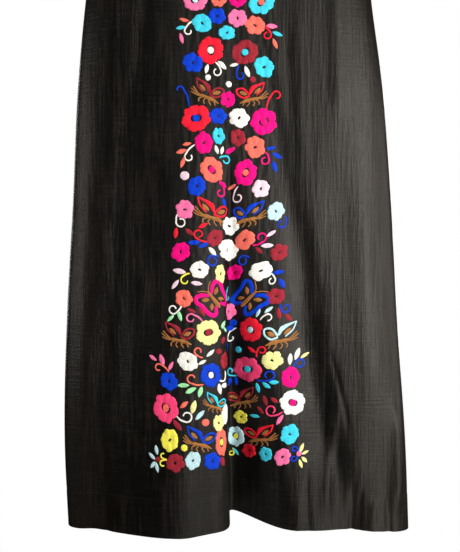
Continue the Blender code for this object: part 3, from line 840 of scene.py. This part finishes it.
# Tendrils: where the tail starts, x and y, the curl's middle, x and y, its radius, which way it
# turns (1 to the left of its own way, -1 to the right), how many degrees it turns, thread
TENDRILS = (
    (193.5, 20.7, 188.3, 31, 4.0, 1, 250, "white"), (263.5, 27, 267, 35.4, 4.2, -1, 320, "red"),
    (215, 61.7, 216.8, 71.3, 4.4, -1, 290, "white"),
    (239, 65.2, 240.3, 75.2, 4.2, 1, 270, "blue"),
    (188.6, 106.6, 179.8, 89.6, 3.6, 1, 190, "blue"),
    (266.3, 110, 277.3, 96, 4.6, -1, 250, "red"),
    (194.7, 144.7, 189.4, 156.8, 4.3, 1, 270, "white"),
    (219.4, 158.4, 226.2, 160.3, 4.0, -1, 290, "turquoise"),
    (265.3, 152, 265.6, 160, 4.3, -1, 310, "cerise"),
    (220, 182, 220.6, 192.8, 4.2, -1, 290, "cerise"),
    (238.3, 186.1, 238.3, 197.3, 4.8, 1, 300, "pale_pink"),
    (178, 213.5, 180.7, 222.2, 5.0, 1, 310, "white"),
    (285.5, 216, 282.4, 223.6, 4.4, -1, 280, "blue"),
    (207.6, 241.6, 198.8, 234.2, 4.6, -1, 340, "red"),
    (252.6, 245.4, 260.2, 237.6, 5.0, 1, 300, "cerise"),
    (218.8, 256.8, 212.6, 260.9, 5.4, 1, 380, "blue"),
    (249.6, 258.5, 243.2, 261, 5.0, 1, 350, "blue"),
    (189.6, 273.2, 184.8, 279.7, 4.4, 1, 240, "yellow"),
    (270.6, 273, 272.8, 280.2, 3.8, -1, 300, "white"),
    (228, 287.2, 227.2, 298.6, 2.4, 1, 260, "turquoise"),
    (181.8, 304.8, 173, 309.6, 4.6, -1, 320, "white"),
    (202.6, 322, 191.4, 318.6, 4.4, 1, 300, "pink"),
    (259.8, 320.3, 267.4, 318, 4.2, -1, 230, "white"),
    (280.8, 304.4, 287, 308.6, 4.5, 1, 310, "blue"),
    (236.6, 327.8, 231.6, 338.4, 4.1, 1, 260, "white"),
    (202.8, 357.5, 198.4, 351.2, 3.9, -1, 280, "coral"),
    (256.4, 357, 260.4, 349.6, 3.8, -1, 320, "red"),
    (169, 372, 158.8, 367.8, 3.9, 1, 250, "coral"),
    (203.4, 384.4, 192, 378, 4.6, -1, 250, "coral"),
    (225.6, 370.6, 222.6, 378.6, 2.2, -1, 170, "white"),
    (236.6, 375.4, 229.8, 371.2, 4.0, -1, 300, "turquoise"),
    (256.6, 380.2, 267.6, 374.4, 5.0, 1, 320, "blue"),
    (294.2, 369.5, 300.7, 364.5, 5.0, -1, 320, "blue"),
    (282.4, 412, 270.8, 411.2, 5.6, -1, 340, "rose"),
    (176.6, 416.4, 186.4, 417, 5.4, 1, 300, "white"),
    (167.6, 459.6, 163.6, 455.6, 3.0, -1, 190, "yellow"),
    (167.6, 460.4, 163, 464, 3.3, 1, 210, "yellow"),
    (298, 453.6, 294, 449.4, 2.7, 1, 300, "blue"),
    (298, 454.6, 294.4, 458.9, 2.7, -1, 300, "blue"),
    (232.4, 447.6, 231.6, 453.2, 2.6, -1, 330, "yellow"),
)

# Butterflies seen from the side: where the wings meet, size, facing (1 right), turn, thread
SIDE_BUTTERFLIES = (
    (209.5, 91.9, 1.0, -1, -10, "maroon"), (250.1, 93.3, 0.97, 1, 0, "red"),
    (214.3, 211.6, 1.08, -1, -5, "red"), (246.6, 213.2, 1.05, 1, 0, "blue"),
    (180.2, 334.5, 1.02, -1, 0, "maroon"), (278.6, 334.8, 1.14, 1, 0, "pale_blue"),
    (217.2, 402.4, 0.78, -1, -12, "turquoise"), (240.2, 397.2, 0.95, 1, 10, "maroon"),
    (202.2, 438.4, 1.0, -1, -6, "blue"), (257.2, 434.2, 0.96, 1, 8, "red"),
)
# Butterflies seen from above: middle of the body, size, turn to the left, thread
TOP_BUTTERFLIES = ((212.8, 298, 1.0, 39, "cerise"), (249.3, 297.6, 1.0, -40, "blue"))

# The column goes on above the photograph's top edge, to about 6 cm below the neckline: what lies
# between these heights of the chart is worked once more, this far up and mirrored about a middle,
# where it stays below a height on the cloth
REPEAT_FROM = 12.0
REPEAT_TO = 200.0
REPEAT_UP = 205.0
REPEAT_MIDDLE = 229.0
REPEAT_TOP = 1222.0

# The grid on which the front is looked at from the camera: its height on the cloth, and how many
# rows and columns it has
SIGHT_HEIGHT = 1200.0
SIGHT_ROWS = 301
SIGHT_COLUMNS = 361


def chart_sight():
    """A finder of where the camera's line through a point of the chart meets the front."""
    heights, shares = np.meshgrid(np.linspace(0.0, SIGHT_HEIGHT, SIGHT_ROWS),
                                  np.linspace(-1.0, 1.0, SIGHT_COLUMNS), indexing="ij")
    along = reach(FRONT, shares, heights)
    x, y = plan(FRONT, flat_x(flat_share(FRONT, along, heights), heights), heights)
    points = np.stack((x, y, heights + HEM_Z), axis=-1).reshape(-1, 3) * MM
    quads = grid_faces(SIGHT_ROWS, SIGHT_COLUMNS)
    tree = BVHTree.FromPolygons(points.tolist(), quads)
    flat = np.stack((along, heights), axis=-1).reshape(-1, 2)
    eye = Vector((0.0, CAMERA_BACK, (CAMERA_RISE + HEM_Z) * MM))

    def find(x, y):
        line = Vector((x - CHART_MIDDLE[0], CHART_FOCUS, CHART_MIDDLE[1] - y))
        place, _, index, _ = tree.ray_cast(eye, line.normalized())
        if place is None:
            raise ValueError(f"the chart's point {x}, {y} is off the dress")
        corners = np.array(quads[index])
        apart = np.linalg.norm(points[corners] - place, axis=1)
        nearest = np.argsort(apart, kind="stable")[:3]
        weights = 1.0 / (apart[nearest] + 1e-7)
        return weights @ flat[corners[nearest]] / weights.sum()

    return find


find_on_front = chart_sight()


# Motifs are made flat: x and y in chart units, worked upright, and z in metres off the cloth.
# Every other stitch stands a little proud, in millimetres. A stitch of a band is this wide in
# chart units, and a band is this many faces across.
STITCH_PROUD = 0.10
BAND_STITCH = 0.75
BAND_ACROSS = 6


def deselect():
    """Leave nothing selected."""
    bpy.ops.object.select_all(action="DESELECT")


def satin_round(name, stitches, rings, petals=0, depth=0.0, start=0.0):
    """A round of satin stitch of radius 1, worked from the rim in: rings of (share, height)."""
    deselect()
    bpy.ops.mesh.primitive_circle_add(vertices=2 * stitches, radius=rings[0][0],
                                      fill_type="NOTHING", calc_uvs=False)
    piece = bpy.context.active_object
    piece.name = name
    bpy.ops.object.mode_set(mode="EDIT")
    bpy.ops.mesh.select_all(action="SELECT")
    bpy.ops.transform.translate(value=(0.0, 0.0, rings[0][1] * MM))
    for (size, rise), (next_size, next_rise) in zip(rings, rings[1:]):
        bpy.ops.mesh.extrude_region_move(
            TRANSFORM_OT_translate={"value": (0.0, 0.0, (next_rise - rise) * MM)})
        shrink = next_size / size
        bpy.ops.transform.resize(value=(shrink, shrink, 1.0), center_override=(0.0, 0.0, 0.0))
    # A round whose last ring is all but a point is closed
    if rings[-1][0] < 0.02:
        bpy.ops.mesh.merge(type="CENTER")
    bpy.ops.object.mode_set(mode="OBJECT")

    points = points_of(piece)
    radius = np.hypot(points[:, 0], points[:, 1])
    angle = np.arctan2(points[:, 1], points[:, 0])
    stitch = np.rint(angle / (math.pi / stitches)).astype(int)
    if petals:
        wander = 0.35 * np.sin(2.0 * angle + start) + 0.25 * np.sin(3.0 * angle + 2.0 * start)
        lobe = np.abs(np.sin(petals * (angle + start) / 2.0 + wander)) ** 0.55
        uneven = 0.05 * np.sin(2.0 * angle + 3.0 * start) + 0.04 * np.sin(5.0 * angle + start)
        rim = 1.0 - depth + depth * lobe + uneven
        oval = 0.3 * np.cos(2.0 * (angle - start)) * smooth((0.45 - radius) / 0.2)
        scale = 1.0 + (rim - 1.0) * smooth((radius - 0.2) / 0.6) + oval
        points[:, :2] *= scale[:, None]
        # The stitches of one petal dive beside those of the next
        points[:, 2] -= 0.45 * MM * (1.0 - lobe) ** 2 * smooth(points[:, 2] / (0.6 * MM))
    # Each stitch is a little longer or shorter, and higher or lower, than the next
    ragged = np.sin(stitch * 12.9898 + start) * 43758.5453
    ragged = ragged - np.floor(ragged) - 0.5
    body = smooth(radius / 0.15) * smooth(points[:, 2] / (0.5 * MM))
    proud = np.where(stitch % 2 == 0, STITCH_PROUD, -STITCH_PROUD) + 0.22 * ragged
    points[:, 2] += proud * MM * body
    points[:, :2] *= (1.0 + 0.06 * ragged * (radius > 0.9))[:, None]
    move_points(piece, points)
    write_uv(piece, "stitches", angle / math.pi * 3.0, radius)
    if piece.data.polygons[0].normal.z < 0.0:
        piece.data.flip_normals()
    piece.data.shade_smooth()
    return piece


def satin_band(name, path, widths, height, count=None):
    """A band of satin stitch along a path, with its width at each of the path's points."""
    steps = distances(path)
    # As many whole stitches as fit, rounding errors aside
    count = count or max(int(steps[-1] / BAND_STITCH + 1e-6), 4)
    at = np.linspace(0.0, steps[-1], count + 1)
    middle = np.stack([np.interp(at, steps, column) for column in path.T], axis=-1)
    half = np.interp(at, steps, widths) / 2.0
    ahead = unit(np.gradient(middle, axis=0))
    aside = np.stack((-ahead[:, 1], ahead[:, 0]), axis=-1)

    deselect()
    bpy.ops.mesh.primitive_grid_add(x_subdivisions=count, y_subdivisions=BAND_ACROSS, size=2.0,
                                    calc_uvs=False)
    piece = bpy.context.active_object
    piece.name = name
    points = points_of(piece)
    i = np.rint((points[:, 0] + 1.0) / 2.0 * count).astype(int)
    offset = half[i] * points[:, 1]
    dome = np.sqrt(np.clip(1.0 - points[:, 1] ** 2, 0.0, 1.0))
    to_end = np.minimum(at[i], steps[-1] - at[i])
    end = np.sqrt(np.clip(to_end / (0.45 * np.max(half)), 0.0, 1.0))
    proud = np.where(i % 2 == 0, STITCH_PROUD, -STITCH_PROUD) * end
    rise = dome * (height * (0.35 + 0.65 * end) + proud) - 0.12
    flat = middle[i] + aside[i] * offset[:, None]
    move_points(piece, np.column_stack((flat, rise * MM)))
    write_uv(piece, "stitches", at[i], offset)
    piece.data.shade_smooth()
    return piece


def drawn_band(name, points, stations, widths, height, count=24):
    """A band on a smooth line through a few points, with its widths at some of its places."""
    places = np.linspace(0.0, len(points) - 1.0, count)
    knots = np.arange(len(points))
    path = np.stack([on_curve(places, knots, column) for column in np.array(points).T], axis=-1)
    return satin_band(name, path, np.interp(range(count), stations, widths), height)


def leaf_shape(name, length, width, x=0.0, y=0.0, turn=0.0):
    """A pointed oval of satin stitch."""
    along = np.linspace(-0.5, 0.5, 15)
    cos = math.cos(math.radians(turn))
    sin = math.sin(math.radians(turn))
    path = np.stack((x + along * length * cos, y + along * length * sin), axis=-1)
    full = np.clip(1.0 - (2.0 * along) ** 2, 0.0, 1.0) ** 0.9
    return satin_band(name, path, 0.03 * length + width * full, 0.95, count=14)


# Rings of satin stitch, from the rim in: share of the radius, and height off the cloth
SMALL_RINGS = ((1.0, -0.15), (0.985, 0.5), (0.93, 0.9), (0.8, 1.15), (0.6, 1.2), (0.4, 1.0),
               (0.21, 0.6), (0.13, -0.1))
LARGE_RINGS = ((1.0, -0.15), (0.985, 0.55), (0.94, 1.0), (0.84, 1.25), (0.7, 1.3), (0.52, 1.2),
               (0.38, 0.8), (0.31, -0.15))
DOT_RINGS = ((1.0, -0.15), (0.95, 0.5), (0.8, 0.85), (0.5, 1.05), (0.01, 1.1))
LEAF_WIDTH = 0.38
# The dot in the middle of a large flower, as a share of its size
DOT_SHARE = 0.26
# Kinds of small and large flower: petals, how deep the notches are, and a start for its petals
SMALL_KINDS = ((6, 0.17, 0.3), (7, 0.15, 1.1), (8, 0.13, 2.0), (6, 0.20, 2.7), (7, 0.12, 3.9))
LARGE_KINDS = ((8, 0.14, 0.5), (9, 0.12, 1.7), (7, 0.16, 2.6))

small_flowers = [satin_round(f"small_flower_{i}", 34, SMALL_RINGS, *kind)
                 for i, kind in enumerate(SMALL_KINDS)]
large_flowers = [satin_round(f"large_flower_{i}", 46, LARGE_RINGS, *kind)
                 for i, kind in enumerate(LARGE_KINDS)]
dot = satin_round("dot", 14, DOT_RINGS)
slim_leaf = leaf_shape("slim_leaf", 1.0, LEAF_WIDTH)


# A side butterfly's feelers and legs, even in width: place and width, height, and how many places
FEELER = ((0,), (1.25,), 0.55, 12)


def side_butterfly():
    """A butterfly from its right side: its pieces, each with its thread, or none where it takes
    the butterfly's own."""
    pieces = [
        (drawn_band("upper_wing", ((0.0, -0.5), (3.5, 6.0), (15.0, 11.8)),
                    (0, 10, 23), (2.2, 4.8, 0.8), 1.1), ""),
        (drawn_band("lower_wing", ((15.0, 11.8), (12.6, 4.2), (6.5, -1.8)), (0,), (1.5,), 0.7), ""),
        (drawn_band("hind_wing", ((0.0, -2.4), (-6.4, -4.4), (-12.4, -0.6), (-13.0, 4.4),
                                  (-6.6, 4.8), (-0.4, -1.6)), (0,), (2.0,), 0.8), ""),
        (leaf_shape("upper_spot", 8.5, 3.6, 7.8, 2.8, 42), "brown"),
        (leaf_shape("hind_spot", 8.5, 4.0, -6.8, 0.2, -24), "brown"),
        (drawn_band("body", ((-10.5, -10.0), (-3.0, -7.0), (10.0, -4.6)),
                    (0, 6, 12, 17, 20, 23), (1.2, 2.6, 4.4, 2.6, 3.8, 2.2), 1.2), "brown"),
    ]
    feelers = (((9.0, -4.6), (12.5, -1.8), (17.0, 3.0)), ((9.6, -5.0), (13.8, -2.8), (18.6, 0.8)),
               ((10.0, -5.6), (14.0, -4.6), (18.0, -2.6)),
               ((-3.0, -7.8), (-5.6, -9.0), (-7.4, -12.6)),
               ((-0.6, -7.8), (-1.0, -10.4), (-3.4, -13.2)),
               ((3.0, -7.4), (4.8, -10.0), (2.8, -13.0)), ((6.4, -6.6), (9.4, -8.6), (9.0, -11.6)))
    pieces += [(drawn_band("feeler", points, *FEELER), "brown") for points in feelers]
    return pieces


def top_butterfly():
    """A butterfly from above, head up: its pieces and threads, as from the side."""
    pieces = []
    for way in (-1, 1):
        wing = [(way * x, y) for x, y in ((1.6, 4.2), (6.4, 9.0), (12.4, 11.2), (15.4, 7.6),
                                          (13.6, 0.0), (13.2, -7.4), (11.0, -13.4), (7.0, -13.8),
                                          (2.6, -8.2))]
        feeler = ((0.6 * way, 8.0), (3.4 * way, 11.6), (8.6 * way, 15.0))
        pieces += [
            (drawn_band("wing", wing, (0, 8, 52, 59), (2.8, 4.4, 4.4, 2.6), 1.1, 60), ""),
            (leaf_shape("upper_spot", 8.0, 4.0, way * 7.0, 3.4, way * 34), "brown"),
            (leaf_shape("hind_spot", 7.5, 3.8, way * 6.4, -6.0, way * -46), "brown"),
            (drawn_band("feeler", feeler, (0,), (1.1,), 0.55, 12), "brown"),
        ]
    body = ((0.0, -12.0), (0.0, -4.0), (0.0, 9.0))
    pieces.append((drawn_band("body", body, (0, 5, 18, 23), (2.4, 4.6, 3.2, 2.0), 1.3), "brown"))
    return pieces


side_pieces = side_butterfly()
top_pieces = top_butterfly()

worked = {thread: [] for thread in THREADS}
CHART_M = CHART_UNIT * MM
# How far to each side of a motif's middle the cloth is looked at, in chart units, and the least
# and the most that a motif is drawn out
LOOK_ASIDE = 3.0
DRAWN_LEAST = 0.9
DRAWN_MOST = 2.0


def work(template, x, y, half_x, half_y, turn, thread, mirrored=False):
    """Work a copy of a motif at a point of the chart, its size in chart units. On the side of a
    fold it is drawn out across the cloth, so that it looks as wide as in the chart."""
    along, height = find_on_front(x, y)
    span = find_on_front(x + LOOK_ASIDE, y)[0] - find_on_front(x - LOOK_ASIDE, y)[0]
    draw = np.clip(span / (2.0 * LOOK_ASIDE * CHART_UNIT), DRAWN_LEAST, DRAWN_MOST)
    put_down(template, along, height, half_x, half_y, turn, thread, mirrored, draw)
    if REPEAT_FROM < y < REPEAT_TO:
        up = height + REPEAT_UP * CHART_UNIT
        if up < REPEAT_TOP:
            again = find_on_front(2.0 * REPEAT_MIDDLE - x, y)[0]
            put_down(template, again, up, half_x, half_y, -turn, thread, not mirrored, 1.0)


def put_down(template, along, height, half_x, half_y, turn, thread, mirrored, draw):
    """Copy a motif to a place on the flat cloth, in metres along it and up it."""
    copy = new_object(template.name, template.data.copy())
    facing = -CHART_M if mirrored else CHART_M
    size = Matrix.Diagonal((half_x * facing, half_y * CHART_M, 1.0, 1.0))
    turned = Matrix.Rotation(math.radians(turn), 4, "Z")
    moved = Matrix.Translation((along * MM, height * MM, 0.0))
    drawn = Matrix.Diagonal((draw, 1.0, 1.0, 1.0))
    copy.data.transform(moved @ drawn @ turned @ size)
    if mirrored:
        copy.data.flip_normals()
    stitches = copy.data.uv_layers["stitches"].data
    uv = np.zeros(len(stitches) * 2)
    stitches.foreach_get("uv", uv)
    uv = uv.reshape(-1, 2) * CHART_M * max(half_x, half_y) + (along * MM, height * MM)
    stitches.foreach_set("uv", uv.ravel())
    worked[thread].append(copy)


# Each flower is turned on from the one before, unless it is oval
for i, (x, y, half_x, half_y, thread, *middle) in enumerate(FLOWERS):
    spin = 0.0 if abs(half_x - half_y) > 1.5 else (i * 67) % 360
    if middle:
        work(large_flowers[i % len(large_flowers)], x, y, half_x, half_y, spin, thread)
        work(dot, x, y, DOT_SHARE * half_x, DOT_SHARE * half_y, 0.0, middle[0])
    else:
        work(small_flowers[i % len(small_flowers)], x, y, half_x, half_y, spin, thread)
# Leaves come in four widths, turn about
for i, (x, y, turn, length, thread) in enumerate(LEAVES):
    work(slim_leaf, x, y, length, length * (0.92 + 0.16 * (i % 4) / 3), turn, thread)
for x, y, turn, length, width, thread in BROAD_LEAVES:
    work(slim_leaf, x, y, length, width / LEAF_WIDTH, turn, thread)
for x, y, radius, thread in DOTS:
    work(dot, x, y, radius, radius, 0.0, thread)


def curl_path(dx, dy, radius, way, sweep):
    """A tail from the start to a curl, whose middle is dx, dy away, then round and inward."""
    apart = math.hypot(dx, dy)
    back = math.atan2(-dy, -dx)
    lead = math.acos(min(radius / apart, 1.0))
    begin = back + way * lead
    turns = np.linspace(0.0, math.radians(sweep), 30)
    radii = radius * (1.0 - 0.42 * (turns / turns[-1]) ** 1.5)
    angles = begin + way * turns
    curl = np.stack((dx + radii * np.cos(angles), dy + radii * np.sin(angles)), axis=-1)
    share = np.linspace(0.0, 1.0, 10)[:-1, None]
    tail = share * curl[0]
    bow = 0.08 * way * apart * np.sin(math.pi * share)
    aside = np.array((curl[0][1], -curl[0][0])) / (math.hypot(*curl[0]) + 1e-9)
    return np.concatenate((tail + bow * aside, curl))


for x, y, curl_x, curl_y, radius, way, sweep, thread in TENDRILS:
    path = curl_path(curl_x - x, y - curl_y, radius, way, sweep)
    widths = np.interp(range(len(path)), (0, 3, len(path) - 1), (1.2, 1.9, 1.5))
    band = satin_band("tendril", path, widths, 0.75)
    work(band, x, y, 1.0, 1.0, 0.0, thread)
    bpy.data.objects.remove(band)
for x, y, size, facing, turn, thread in SIDE_BUTTERFLIES:
    for piece, own_thread in side_pieces:
        work(piece, x, y, size, size, turn, own_thread or thread, mirrored=facing < 0)
for x, y, size, turn, thread in TOP_BUTTERFLIES:
    for piece, own_thread in top_pieces:
        work(piece, x, y, size, size, turn, own_thread or thread)

for template in (*small_flowers, *large_flowers, dot, slim_leaf,
                 *(piece for piece, _ in side_pieces + top_pieces)):
    bpy.data.objects.remove(template)


def lay_on_front(piece):
    """Move a piece from the flat chart onto the front of the dress."""
    along, height, lift = points_of(piece).T / MM
    move_points(piece, on_cloth(FRONT, flat_share(FRONT, along, height), height, lift))


for thread, code in THREADS.items():
    deselect()
    for copy in worked[thread]:
        copy.select_set(True)
    bpy.context.view_layer.objects.active = worked[thread][0]
    bpy.ops.object.join()
    piece = bpy.context.active_object
    piece.name = f"embroidery_{thread}"
    lay_on_front(piece)
    finish(piece, stranded_thread(f"stranded cotton, {thread.replace('_', ' ')}", code))


# Sewing: rows of lockstitch along the hem, the neck and the armholes
STITCH_LONG = 2.5
STITCH_EVERY = 3.1
STITCH_WIDE = 0.6
EDGE_ROW = 6.0
# Where rows begin and end: a share of the flat width at the side seams, and an angle at the neck
SEAM_SHARE = 0.006
NECK_ENDS = 0.16


def one_stitch():
    """The points and faces of one lockstitch, in millimetres along x."""
    deselect()
    bpy.ops.mesh.primitive_uv_sphere_add(segments=6, ring_count=4, radius=0.5,
                                         rotation=(0.0, math.pi / 2, 0.0))
    ball = bpy.context.active_object
    bpy.ops.object.transform_apply(location=False)
    bpy.ops.object.mode_set(mode="EDIT")
    bpy.ops.mesh.select_all(action="SELECT")
    bpy.ops.transform.resize(value=(STITCH_LONG, STITCH_WIDE, STITCH_WIDE))
    bpy.ops.object.mode_set(mode="OBJECT")
    points = points_of(ball)
    faces = [tuple(face.vertices) for face in ball.data.polygons]
    bpy.data.objects.remove(ball)
    return points, faces


def sewn_row(name, side, lines, lift):
    """Lockstitch along lines on a panel, each of shares of the flat width, and heights."""
    points, faces = one_stitch()
    stitches = []
    for across, heights in lines:
        line = on_cloth(side, across, heights, lift) / MM
        off_cloth = on_cloth(side, across, heights, lift + 1.0) / MM - line
        run = distances(line)
        at = np.arange(STITCH_EVERY, run[-1] - STITCH_EVERY / 2, STITCH_EVERY)
        place, before, after, out = (
            np.stack([np.interp(where, run, column) for column in values.T], axis=-1)
            for where, values in ((at, line), (at - 1.0, line), (at + 1.0, line), (at, off_cloth)))
        ahead = unit(after - before)
        beside = np.cross(out, ahead)
        axes = np.stack((ahead, unit(beside), np.cross(ahead, beside)), axis=1)
        stitches.extend(place[:, None] + points @ axes)
    all_faces = [tuple(k + i * len(points) for k in face)
                 for i in range(len(stitches)) for face in faces]
    finish(new_piece(name, np.concatenate(stitches) * MM, all_faces), SEWING)


def hem_line():
    """The hem's stitching, from seam to seam: shares of the flat width, and heights."""
    return np.linspace(SEAM_SHARE, 1.0 - SEAM_SHARE, 600), np.full(600, HEM_TURN)


def neck_line(side):
    """The neck's stitching, from shoulder to shoulder."""
    angles = np.linspace(NECK_ENDS, math.pi - NECK_ENDS, 200)
    shares = -(NECK_HALF + EDGE_ROW) / SHOULDER_HALF * np.cos(angles)
    return (1.0 + shares) / 2.0, LENGTH - (NECK_DROP[side] + EDGE_ROW) * np.sin(angles)


def armhole_lines():
    """Both armholes' stitching, from the side seam up."""
    heights = np.linspace(ARMHOLE_BASE + 4.0, float(ridge(SHOULDER_HALF)) - 10.0, 200)
    left, right = half_widths(heights)
    inset = EDGE_ROW * np.hypot(1.0, np.gradient(right, heights)) / (right - left)
    return (inset, heights), (1.0 - inset, heights)


for side, word in ((FRONT, "front"), (BACK, "back")):
    sewn_row(f"hem_stitching_{word}", side, [hem_line()], -0.1)
    sewn_row(f"neck_stitching_{word}", side, [neck_line(side)], 0.05)
    sewn_row(f"armhole_stitching_{word}", side, armhole_lines(), 0.05)


# Hanger: the CAD pieces keep their shape
for name, material in (("hanger_bar", beech("varnished beech")),
                       ("hanger_hook", zinc_wire("zinc-plated steel wire"))):
    give_material(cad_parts[name], material)


# Floor, light and camera
FLOOR_RADIUS = 1.25
FLOOR_Z = -2.4
SENSOR = 36.0


def matt_emulsion(name, code):
    """Matt emulsion on board."""
    material, shader = new_material(name)
    node(material, shader, {"Base Color": colour(code), "Roughness": 0.9})
    return material


deselect()
bpy.ops.mesh.primitive_circle_add(vertices=96, radius=FLOOR_RADIUS, fill_type="NGON",
                                  location=(0.0, 0.0, FLOOR_Z))
floor = bpy.context.active_object
floor.name = "floor"
give_material(floor, matt_emulsion("pale emulsion floor", "EFEDE8"))


def area_light(name, place, target, size, power, tint):
    """A soft light that faces a point."""
    light = bpy.data.lights.new(name, "AREA")
    light.shape = "RECTANGLE"
    light.size = size[0]
    light.size_y = size[1]
    light.energy = power
    light.color = colour(tint)[:3]
    lamp = new_object(name, light)
    lamp.location = place
    lamp.rotation_euler = (Vector(target) - Vector(place)).to_track_quat("-Z", "Y").to_euler()


# The photograph's light comes from beside the camera, on its right. Those with "back" in their
# names reach only the sides and the back.
LIGHTS = (
    ("softbox_right", (0.65, -0.85, -0.92), (0.2, 0.0, -0.95), (0.4, 1.05), 4.4, "FFF7EC"),
    ("strip_right", (0.55, -0.85, -0.92), (0.2, 0.0, -0.95), (0.3, 1.05), 7.2, "FFF7EC"),
    ("softbox_high", (0.6, -0.85, -0.18), (0.28, 0.0, -0.55), (0.4, 0.5), 3.6, "FFF7EC"),
    ("strip_left", (-1.15, -0.5, -0.77), (-0.2, 0.0, -0.87), (0.25, 1.1), 4.3, "FFF8EE"),
    ("softbox_top", (0.0, -0.55, 0.25), (0.0, 0.0, -0.92), (0.9, 0.4), 1.8, "FFF8EE"),
    ("softbox_low", (0.55, -0.85, -1.85), (0.2, 0.0, -1.35), (0.35, 0.6), 2.5, "FFF7EC"),
    ("strip_far_right", (0.98, -0.25, -0.92), (0.27, 0.0, -0.95), (0.3, 1.0), 3.6, "FFF7EC"),
    ("softbox_back", (0.95, 1.25, -0.75), (0.0, 0.0, -0.85), (0.6, 1.3), 22.0, "FFFFFF"),
    ("strip_back", (-1.2, 0.9, -0.7), (0.0, 0.0, -0.85), (0.4, 1.2), 9.0, "FFFFFF"),
)
for light_row in LIGHTS:
    area_light(*light_row)

world = bpy.data.worlds.new("pale studio")
bpy.context.scene.world = world
world.use_nodes = True
# A bright paper backdrop, which lights the dress only softly
sight = node(world, "ShaderNodeLightPath")
glow = node(world, "ShaderNodeMapRange",
            {"Value": sight.outputs["Is Camera Ray"], "To Min": 0.012})
node(world, world.node_tree.nodes["Background"], {"Color": colour("FFFFFF"), "Strength": glow})
bpy.context.scene.view_settings.view_transform = "Standard"

camera_data = bpy.data.cameras.new("camera")
camera_data.sensor_width = SENSOR
camera_data.lens = CHART_FOCUS / PHOTO_HEIGHT * SENSOR
camera_data.clip_end = 20.0
camera = new_object("camera", camera_data)
camera.location = (0.0, CAMERA_BACK, (CAMERA_RISE + HEM_Z) * MM)
camera.rotation_euler = (math.pi / 2, 0.0, 0.0)
bpy.context.scene.camera = camera
